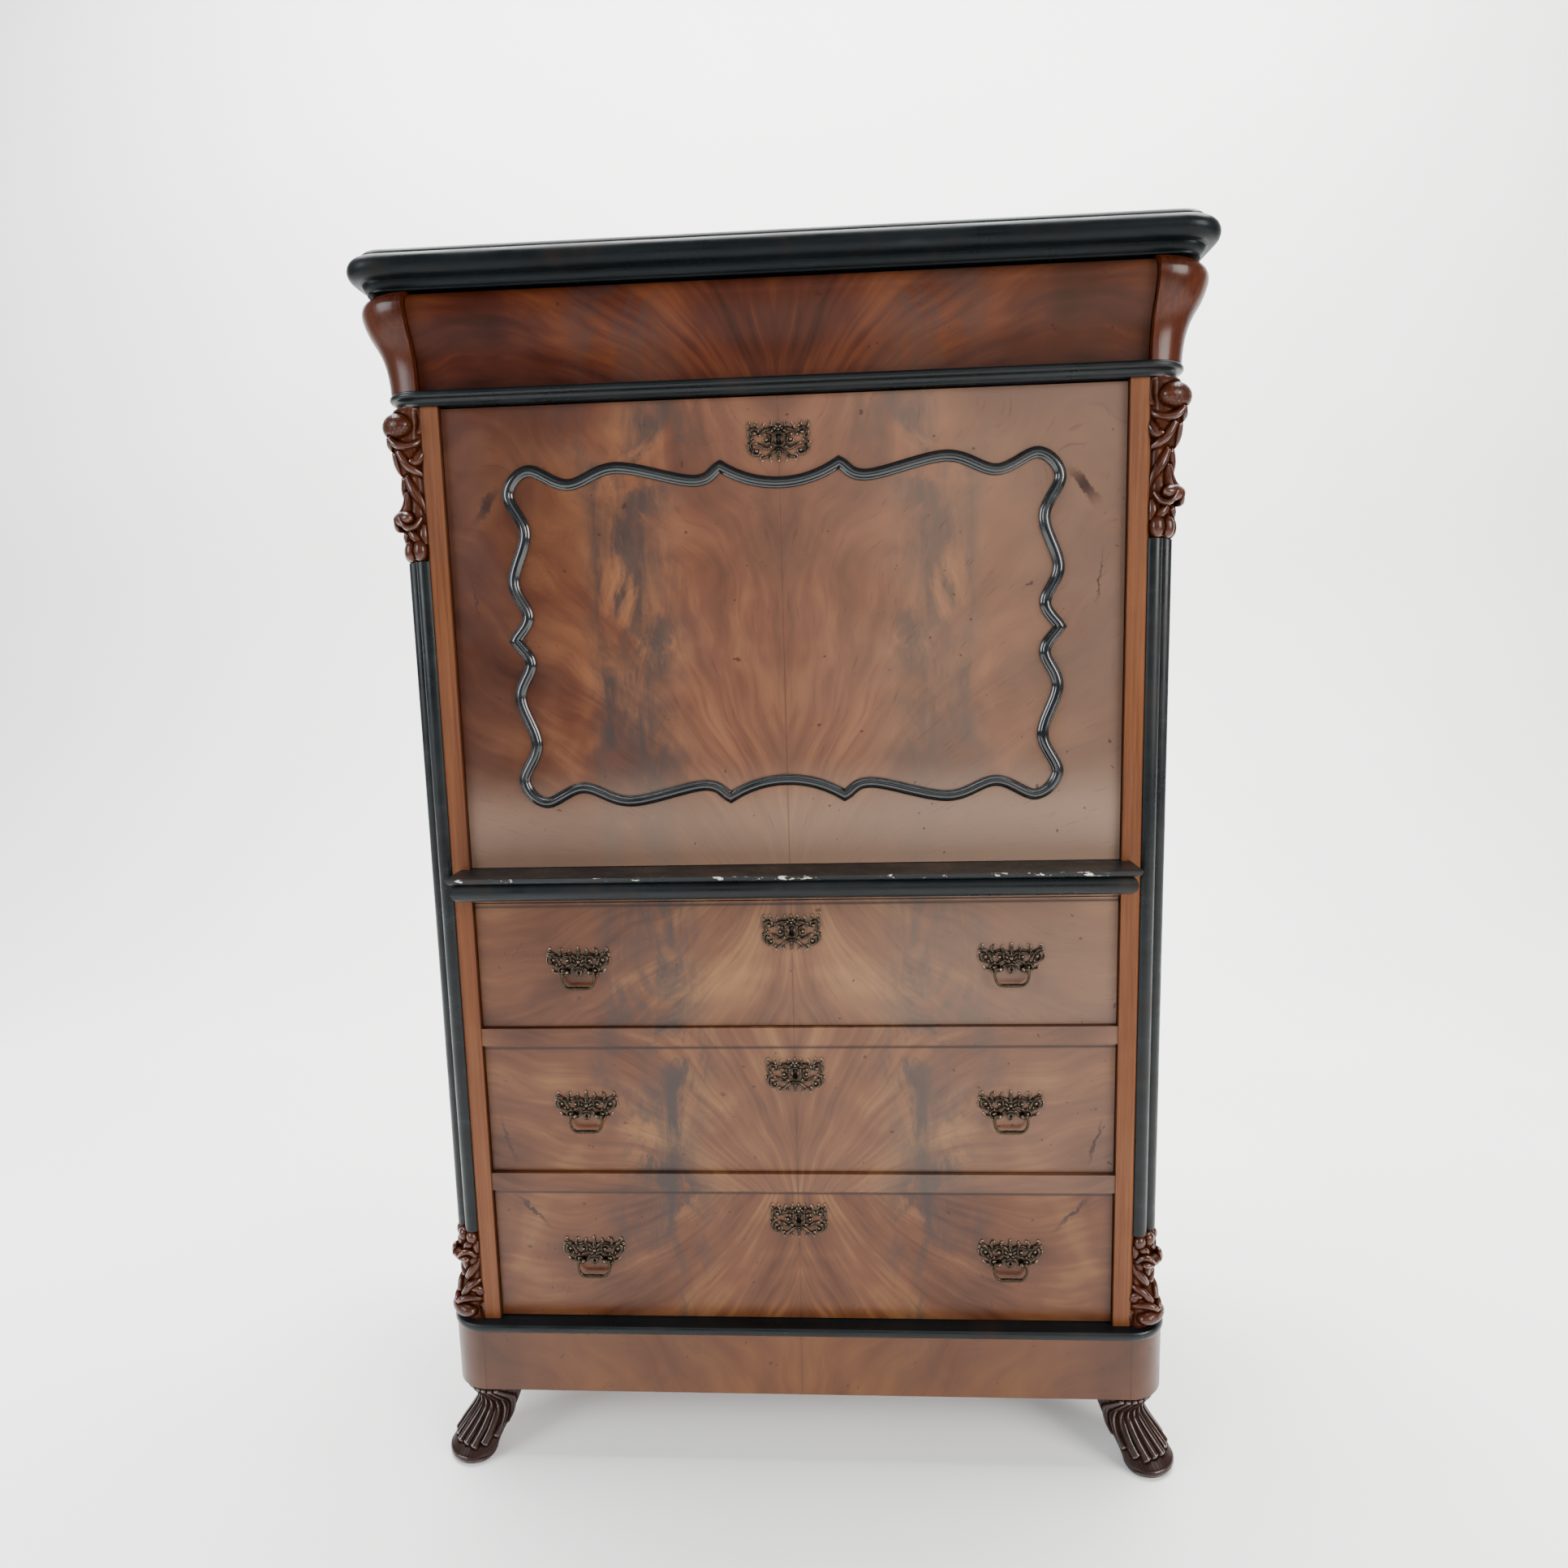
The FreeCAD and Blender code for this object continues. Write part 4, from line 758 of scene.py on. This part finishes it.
def flap_moulding(material):
    """A small half-round moulding between two fillets, mitred at the cusps."""
    path = frame_outline()
    count = len(path)
    mesh = bmesh.new()
    rings = []
    for i, place in enumerate(path):
        before = (place - path[i - 1]).normalized()
        after = (path[(i + 1) % count] - place).normalized()
        mitre = Vector((-(before.y + after.y), before.x + after.x)).normalized()
        across = mitre / max(mitre.dot(Vector((-after.y, after.x))), SHARPEST_MITRE)
        ring = []
        for offset, proud in FLAP_PROFILE:
            spot = place + across * offset * MM
            ring.append(mesh.verts.new((spot.x, FLAP_FACE - proud * MM, FRAME_MIDDLE + spot.y)))
        rings.append(ring)
    for i, ring in enumerate(rings):
        following = rings[(i + 1) % count]
        for k in range(len(FLAP_PROFILE) - 1):
            mesh.faces.new((ring[k], ring[k + 1], following[k + 1], following[k]))
        mesh.faces.new((ring[-1], ring[0], following[0], following[-1]))
    return make_object("serpentine_moulding", mesh, material)


# ---------------------------------------------------------------- brasses
def spiral(cx, cz, start, end, outer, inner, count=9):
    """Places along a spiral that winds into a scroll's eye, in the plate's plane."""
    places = []
    for i in range(count):
        turn = math.radians(start + (end - start) * i / (count - 1))
        radius = outer + (inner - outer) * i / (count - 1)
        places.append((cx + radius * math.cos(turn), cz + radius * math.sin(turn)))
    return places


def stroke_radii(widths, count):
    """A radius for each of a stroke's places, from the widths spread evenly along it."""
    step = (count - 1) / (len(widths) - 1)
    radii = []
    for i in range(count):
        at = i / step
        k = min(int(at), len(widths) - 2)
        radii.append((widths[k] + (widths[k + 1] - widths[k]) * (at - k)) * MM * CAST_SWELL)
    return radii


def add_ornament(mesh, strokes, beads):
    """Strokes and beads of casting, each with its mirror image about the plate's centre."""
    for side in (-1, 1):
        for places, widths in strokes:
            points = [(side * x * MM, -CAST_PROUD * MM, z * MM) for x, z in places]
            add_tube(mesh, points, stroke_radii(widths, len(places)), 0.85, 8, 3)
        for x, z, size in beads:
            place = (side * x * MM, -CAST_PROUD * MM, z * MM)
            add_lobe(mesh, place, ((size * MM, 0, 0), (0, size * MM * 1.1, 0), (0, 0, size * MM)))


# strokes: places in millimetres from the plate's centre, then widths; beads: place and size
PULL_STROKES = (
    (spiral(33, 4, -120, 220, 7.5, 2.5), (2.0, 1.7, 1.1)),
    (((25, -3), (29, 7), (37, 13), (42, 11)), (1.6, 2.0, 1.1)),
    (((36, 12), (39, 17), (37, 20)), (1.5, 0.8)),
    (((22, 4), (25, 12), (24, 17), (21, 19)), (1.9, 1.5, 0.9)),
    (((10, 8), (12, 13), (11, 18)), (2.0, 1.6, 0.9)),
    (((0, 6), (0, 14), (0, 21)), (2.3, 1.9, 0.9)),
    (spiral(15, 3, 30, 330, 7.5, 2.6), (1.9, 1.6, 1.0)),
    (((0, 4), (7, 9), (15, 11), (24, 8), (31, 9)), (1.9, 1.6, 1.9)),
    (((3, -4), (9, -1), (17, -6), (26, -5), (33, -3)), (1.9, 1.7, 1.5)),
    (spiral(22, -11, 100, -200, 6.0, 2.2), (1.9, 1.5, 1.0)),
    (((0, -6), (6, -8), (11, -13), (17, -17), (24, -18)), (2.2, 1.8, 1.1)),
    (((28, -14), (33, -13), (36, -9)), (1.5, 0.8)),
    (((0, -8), (3, -14), (0, -19)), (2.0, 1.7, 1.2)),
    (((4, 0), (8, 4), (6, 7)), (1.4, 1.0)),
    (((38, -2), (42, 2), (42, 6)), (1.3, 0.8)),
)
PULL_BEADS = ((33, 4, 2.4), (15, 3, 2.3), (22, -11, 2.1), (0, 1, 3.0), (0, 20.5, 1.4), (11, 17.5, 1.2),
              (21.5, 18.5, 1.2), (37, 19.5, 1.1), (0, -19.5, 1.6), (41, 10, 1.5))

ESCUTCHEON_STROKES = (
    (spiral(29, 10, -60, 250, 8.0, 2.6), (2.0, 1.7, 1.0)),
    (((35, 15), (37, 20), (35, 24)), (1.7, 0.8)),
    (((26, 17), (28, 21), (27, 24)), (1.5, 0.8)),
    (((31, 2), (36, -4), (35, -11), (30, -14)), (1.9, 1.8, 1.1)),
    (spiral(27, -11, 60, -230, 6.5, 2.4), (1.9, 1.6, 1.0)),
    (((7, 12), (9, 18), (8, 24)), (1.9, 1.5, 0.8)),
    (((4, 15), (12, 15), (20, 12), (23, 7)), (1.8, 1.7, 1.5)),
    (((18, 13), (19, 18), (17, 22)), (1.5, 0.8)),
    (spiral(15, 2, 80, 380, 6.5, 2.5), (1.8, 1.5, 1.0)),
    (((9, -6), (15, -8), (22, -4), (27, -2)), (1.8, 1.6, 1.4)),
    (((0, -9), (7, -12), (13, -17), (20, -19)), (2.1, 1.7, 1.0)),
    (((10, -14), (11, -19), (9, -24)), (1.6, 0.8)),
    (((0, -12), (0, -18), (0, -24)), (2.3, 1.8, 0.9)),
    (((21, -16), (22, -20), (20, -23)), (1.5, 0.8)),
    (((2, 17), (0, 20), (0, 24)), (1.9, 1.0)),
    (spiral(0, 3, 90, 270, 8.2, 8.2), (2.0, 1.8, 2.0)),
)
ESCUTCHEON_BEADS = ((29, 10, 2.4), (27, -11, 2.2), (15, 2, 2.2), (0, 23, 1.4), (8, 23, 1.2), (35, 23, 1.2),
                    (0, -23, 1.6), (9.5, -23, 1.2), (38, -2, 1.7), (0, 13.5, 2.2))


def pull_mesh(material):
    """The pierced plate of a pull, with the two bosses that hold its bail, about the plate's centre."""
    mesh = bmesh.new()
    add_ornament(mesh, PULL_STROKES, PULL_BEADS)
    for side in (-1, 1):
        boss = [(side * BOSS_X, -stand * MM, -PULL_RISE) for stand in (0.5, 4.0, 8.5)]
        add_tube(mesh, boss, (0.0038, 0.0030, 0.0028))
    piece = make_object("pull_pattern", mesh, material)
    fuse(piece, CAST_VOXEL, 1)
    return piece


def escutcheon_mesh(material):
    """The pierced keyhole plate, about its centre."""
    mesh = bmesh.new()
    add_ornament(mesh, ESCUTCHEON_STROKES, ESCUTCHEON_BEADS)
    piece = make_object("escutcheon_pattern", mesh, material)
    fuse(piece, CAST_VOXEL, 1)
    return piece


def keyhole_mesh(material):
    """A thin black sheet let into the middle of its plate: painted shade standing for the keyhole."""
    mesh = bmesh.new()
    turns = [math.radians(-55 + 290 * i / 20) for i in range(21)]
    outline = [(KEYHOLE_RADIUS * math.cos(a), KEYHOLE_RISE + KEYHOLE_RADIUS * math.sin(a)) for a in turns]
    outline += [(-KEYHOLE_SLOT, KEYHOLE_FOOT), (KEYHOLE_SLOT, KEYHOLE_FOOT)]
    front = [mesh.verts.new((x, -KEYHOLE_DEPTH, z)) for x, z in outline]
    back = [mesh.verts.new((x, 0.0, z)) for x, z in outline]
    mesh.faces.new(front)
    mesh.faces.new(back[::-1])
    for k in range(len(front)):
        n = (k + 1) % len(front)
        mesh.faces.new((front[k], back[k], back[n], front[n]))
    return make_object("keyhole_pattern", mesh, material)


# one half of a bail's rod from a boss to the grip: place across and height, then radius
BAIL_LINE = (
    (BOSS_X, 0, 0.0016), (BAIL_HALF - 0.001, 0.0006, 0.0021), (BAIL_HALF + 0.0003, -0.004, 0.0020),
    (BAIL_HALF + 0.0006, -0.010, 0.0018), (BAIL_HALF - 0.0015, -0.0165, 0.0019),
    (BAIL_HALF - 0.0065, -BAIL_DROP, 0.0021), (0.006, -BAIL_DROP - 0.0004, 0.0024))


def bail_mesh(material):
    """A hanging loop of cast rod, thicker along its grip, about the middle of its pivots."""
    mesh = bmesh.new()
    right = [(x, 0, z) for x, z, _ in BAIL_LINE]
    left = [(-x, 0, z) for x, z, _ in BAIL_LINE[::-1]]
    radii = [radius for *_, radius in BAIL_LINE]
    add_tube(mesh, right + left, radii + radii[::-1], 1.0, 14, 12)
    return make_object("bail_pattern", mesh, material)


def lock_case(name, low, high, material):
    """A lock's case with rounded edges, the channel that its bolt slides in and four screw heads."""
    mesh = bmesh.new()
    channel_low = Vector((-CHANNEL_HALF, low.y + CHANNEL_DEPTHS[0], high.z - CHANNEL_LENGTH))
    channel_high = Vector((CHANNEL_HALF, low.y + CHANNEL_DEPTHS[1], high.z))

    def ring(a, b, z):
        """The four corners of a level rectangle."""
        corners = ((a.x, a.y, z), (b.x, a.y, z), (b.x, b.y, z), (a.x, b.y, z))
        return [mesh.verts.new(place) for place in corners]

    rings = [ring(low, high, low.z), ring(low, high, high.z),
             ring(channel_low, channel_high, high.z), ring(channel_low, channel_high, channel_low.z)]
    mesh.faces.new(rings[0][::-1])
    mesh.faces.new(rings[-1])
    for lower, upper in zip(rings, rings[1:]):
        for k in range(4):
            n = (k + 1) % 4
            mesh.faces.new((lower[k], lower[n], upper[n], upper[k]))
    bmesh.ops.bevel(mesh, geom=mesh.edges[:], offset=LOCK_BEVEL, segments=2, profile=0.5, affect="EDGES")
    for sx in (-1, 1):
        for sz in (-1, 1):
            head = (sx * SCREW_REACH, high.y, (low.z + high.z) / 2 + sz * SCREW_REACH)
            add_lobe(mesh, head, ((SCREW_HEAD, 0, 0), (0, SCREW_PROUD, 0), (0, 0, SCREW_HEAD)))
    return make_object(name, mesh, material)


# ---------------------------------------------------------------- the finishes
FLAP_TONES = ("2a1107", "4f2b1b", "71482d")
DRAWER_TONES = ("361a0c", "54311c", "73502f")
FRIEZE_TONES = ("160501", "34140a", "512914")
PLINTH_TONES = ("371c0c", "4c2b17", "5b381d")
WAIST_EDGE = WAIST_FRONT + 0.0012
CROWN_CORNER_X = -0.4405


def drawer_top(number):
    """The height of a drawer front's top edge."""
    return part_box(f"drawer_{number}_front")[1].z


flap_wood = flame_mahogany("flame_flap", FLAP_TONES, 0.95, 0.72, 0.5, (0.30, 0.5), 0.6, cracks=CRACKS)
upper_wood = flame_mahogany("flame_upper_drawer", DRAWER_TONES, 1.0, 0.90, -0.8, (0.30, 0.0),
                            shadow_edge=drawer_top(1))
middle_wood = flame_mahogany("flame_middle_drawer", DRAWER_TONES, 1.0, 0.33, 0.9, (0.15, 0.0), cracks=CRACKS,
                             shadow_edge=drawer_top(2))
lower_wood = flame_mahogany("flame_lower_drawer", DRAWER_TONES, 0.9, 0.50, -0.9, cracks=CRACKS,
                            shadow_edge=drawer_top(3))
frieze_wood = flame_mahogany("flame_frieze", FRIEZE_TONES, 0.6, 1.30, 0.8, (0.06, 0.0), gloss=0.04)
plinth_wood = flame_mahogany("flame_plinth", PLINTH_TONES, 0.3, -0.6, 0.3, seams=(CORNER_X,))
side_wood = straight_wood("veneer_sides", "z", "2f140a", "572f1a", 0.34, 14.0)
corner_wood = straight_wood("frieze_corner_wood", "z", "210803", "47200d", 0.26, 22.0)
stile_wood = straight_wood("stile_wood", "z", "45220f", "673f24", 0.42, 60.0, 0.5)
rail_wood = straight_wood("carcase_wood", "x", "3f2111", "623e22", 0.5, 40.0)
post_wood = straight_wood("post_wood", "z", "240f05", "452410", 0.5, 40.0)
bed_wood = straight_wood("bed_wood", "x", "3e1e0d", "643c21", 0.38, 24.0)
oak = straight_wood("drawer_oak", "y", "74542f", "a17c52", 0.6, 34.0)
pine = straight_wood("pine", "z", "856238", "b08a5c", 0.7, 22.0)
black = ebonised("ebonised")
black_waist = ebonised("ebonised_waist", (("y", WAIST_EDGE, 0.0022),))
black_crown = ebonised("ebonised_crown", (("x", CROWN_CORNER_X, 0.0016),), 0.08)
black_flap = ebonised("ebonised_flap_moulding", (), 0.6, 0.17)
scroll_wood = carved_mahogany("carved_mahogany", "120501", "3e1b0c", "6f3a20")
foot_wood = carved_mahogany("carved_feet", "0e0806", "2b1b17", "6e5a54")
brass = aged_brass("aged_brass", "120c09", "7d6d5a", 0.28)
dark_brass = aged_brass("handled_brass", "0c0a07", "44392a", 0.3)
steel_brass = aged_brass("lock_brass", "453820", "7f6b3f", 0.42)
leather = green_leather("green_leather")
# painted shade: the black keyhole sheets stand for the shadow inside the keyholes
keyhole_shade = ebonised("keyhole_painted_shade")

FINISHES = {
    "flap_panel": flap_wood, "frieze_drawer_front": frieze_wood, "frieze_sides": corner_wood,
    "frieze_corners": corner_wood, "side_panels": side_wood, "plinth": plinth_wood,
    "drawer_1_front": upper_wood, "drawer_2_front": middle_wood, "drawer_3_front": lower_wood,
    "top_board": bed_wood, "front_stiles": stile_wood, "drawer_rails": middle_wood,
    "corner_posts": post_wood, "flap_rail": upper_wood, "writing_bed": bed_wood, "case_boards": rail_wood,
    "gallery_boards": bed_wood, "reeded_columns": black, "waist_moulding": black_waist, "base_bead": black,
    "frieze_bead": black, "crown_moulding": black_crown, "feet_back": post_wood,
    "drawer_1_box": oak, "drawer_2_box": oak, "drawer_3_box": oak, "frieze_drawer_box": oak,
    "drawer_runners": oak, "frieze_drawer_guides": oak, "back_frame": pine, "back_panels": pine,
    "writing_leather": leather, "flap_pivots": steel_brass, "flap_stays": steel_brass,
    "flap_lock": steel_brass, "flap_lock_bolt": steel_brass, "pivot_bushes_and_stops": steel_brass,
    "drawer_1_bolt": steel_brass, "drawer_2_bolt": steel_brass, "drawer_3_bolt": steel_brass,
}
FINISHES.update({name: bed_wood for name in nodes if name.startswith("small_drawer_")})


def finish_node(name, material):
    """Gives every slot of a carried-over node the same finish."""
    slots = nodes[name].data.materials
    for index in range(len(slots)):
        slots[index] = material


for node_name, finish in FINISHES.items():
    finish_node(node_name, finish)


# ---------------------------------------------------------------- detailed pieces
def hold(piece, body, slot, *replaced):
    """Puts a piece on its body and hides the CAD nodes it stands for; its slot is not used."""
    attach(piece, body)
    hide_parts(*replaced)


def carve_corners():
    """The four carved brackets and the two front feet."""
    top = scroll_carving("scroll_top_right", TOP_CARVING_HIGH.z, COLUMN_HIGH.z, 1.0, scroll_wood)
    bottom = scroll_carving("scroll_bottom_right", BOTTOM_CARVING_LOW.z, COLUMN_LOW.z, BOTTOM_DEPTH,
                            scroll_wood)
    foot = front_foot("foot_right", foot_wood)
    for piece, twin_name, slot, node in (
            (top, "scroll_top_left", "carved_mahogany", "carved_scrolls_top"),
            (bottom, "scroll_bottom_left", "carved_mahogany", "carved_scrolls_bottom"),
            (foot, "foot_left", "carved_mahogany", "feet_front")):
        hold(piece, "root", slot, node)
        hold(mirrored(piece, twin_name), "root", slot, node)


def fit_pull(number, face, side, tag, pull, bail):
    """One pull and its bail on a drawer front."""
    node = f"drawer_{number}_bail_{tag}"
    low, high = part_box(node)
    pivot = Vector((side * PULL_X, (low.y + high.y) / 2, high.z - BAIL_ROD))
    piece = copy_at(pull, f"pull_{number}_{tag}", (side * PULL_X, face, pivot.z + PULL_RISE))
    hold(piece, f"drawer_{number}", "brass", f"drawer_{number}_brasses")
    hold(copy_at(bail, f"bail_{number}_{tag}", pivot), f"{node}_loop", "brass", node)


def fit_brasses():
    """Pulls, bails, escutcheons and lock cases of the drawers, and the escutcheon of the fall front."""
    pull = pull_mesh(brass)
    plate = escutcheon_mesh(brass)
    keyhole = keyhole_mesh(keyhole_shade)
    bail = bail_mesh(dark_brass)
    for number in (1, 2, 3):
        body = f"drawer_{number}"
        node = f"drawer_{number}_brasses"
        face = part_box(f"drawer_{number}_front")[0].y
        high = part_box(node)[1]
        for side, tag in ((1, "right"), (-1, "left")):
            fit_pull(number, face, side, tag, pull, bail)
        centre = (0, face, high.z - KEY_DROP)
        hold(copy_at(plate, f"escutcheon_{number}", centre), body, "brass", node)
        hold(copy_at(keyhole, f"keyhole_{number}", centre), body, "brass", node)
        corner = Vector((-LOCK_HALF, high.y - LOCK_DEPTH, high.z - 2 * LOCK_HALF))
        case = lock_case(f"lock_case_{number}", corner, Vector((LOCK_HALF, high.y, high.z)), steel_brass)
        hold(case, body, "brass", node)
    low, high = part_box("flap_escutcheon")
    centre = (0, FLAP_FACE, (low.z + high.z) / 2)
    hold(copy_at(plate, "escutcheon_flap", centre), "fall_front", "brass", "flap_escutcheon")
    hold(copy_at(keyhole, "keyhole_flap", centre), "fall_front", "brass", "flap_escutcheon")
    for pattern in (pull, plate, keyhole, bail):
        bpy.data.objects.remove(pattern)


carve_corners()
fit_brasses()
hold(flap_moulding(black_flap), "fall_front", "ebonised_wood", "flap_frame")


# ---------------------------------------------------------------- floor, lights, camera
def soft_light(name, place, target, size, power, colour):
    """A rectangular lamp turned towards its target."""
    lamp = bpy.data.lights.new(name, "AREA")
    lamp.shape = "RECTANGLE"
    lamp.size, lamp.size_y = size
    lamp.energy = power
    lamp.color = colour
    holder = bpy.data.objects.new(name, lamp)
    holder.location = place
    holder.rotation_euler = (Vector(target) - Vector(place)).to_track_quat("-Z", "Y").to_euler()
    bpy.context.scene.collection.objects.link(holder)


def lay_floor():
    """A pale floor that bends up into a wall behind the desk."""
    mesh = bmesh.new()
    profile = [(-FLOOR_REACH, 0.0), (FLOOR_BACK, 0.0)]
    for i in range(1, 13):
        turn = math.pi / 2 * i / 12
        profile.append((FLOOR_BACK + FLOOR_BEND * math.sin(turn), FLOOR_BEND * (1 - math.cos(turn))))
    profile.append((FLOOR_BACK + FLOOR_BEND, FLOOR_RISE))
    rows = [[mesh.verts.new((x, y, z)) for x in (-FLOOR_REACH, FLOOR_REACH)] for y, z in profile]
    for lower, upper in zip(rows, rows[1:]):
        mesh.faces.new((lower[0], lower[1], upper[1], upper[0]))
    floor = make_object("floor", mesh, plain_floor("pale_floor"))


def aim_camera():
    """The viewpoint: just right of the desk's middle, at breast height, about 1.2 m in front of it."""
    yaw, pitch, roll = [math.radians(turn) for turn in (CAMERA_YAW, CAMERA_PITCH, CAMERA_ROLL)]
    ahead = Vector((math.sin(yaw) * math.cos(pitch), math.cos(yaw) * math.cos(pitch), math.sin(pitch)))
    camera = bpy.data.cameras.new("camera")
    camera.sensor_width = CAMERA_SENSOR
    camera.lens = CAMERA_LENS
    camera.clip_start = CAMERA_NEAR
    holder = bpy.data.objects.new("camera", camera)
    turn = ahead.to_track_quat("-Z", "Y").to_matrix() @ Matrix.Rotation(roll, 3, "Z")
    holder.matrix_world = Matrix.Translation(CAMERA_PLACE) @ turn.to_4x4()
    bpy.context.scene.collection.objects.link(holder)
    bpy.context.scene.camera = holder


def light_world():
    """A dim, slightly blue sky all round."""
    world = bpy.data.worlds.new("studio")
    world.use_nodes = True
    back = world.node_tree.nodes["Background"]
    back.inputs[0].default_value = SKY
    back.inputs[1].default_value = SKY_STRENGTH
    bpy.context.scene.world = world


lay_floor()
aim_camera()
light_world()
for settings in LIGHTS:
    soft_light(*settings)
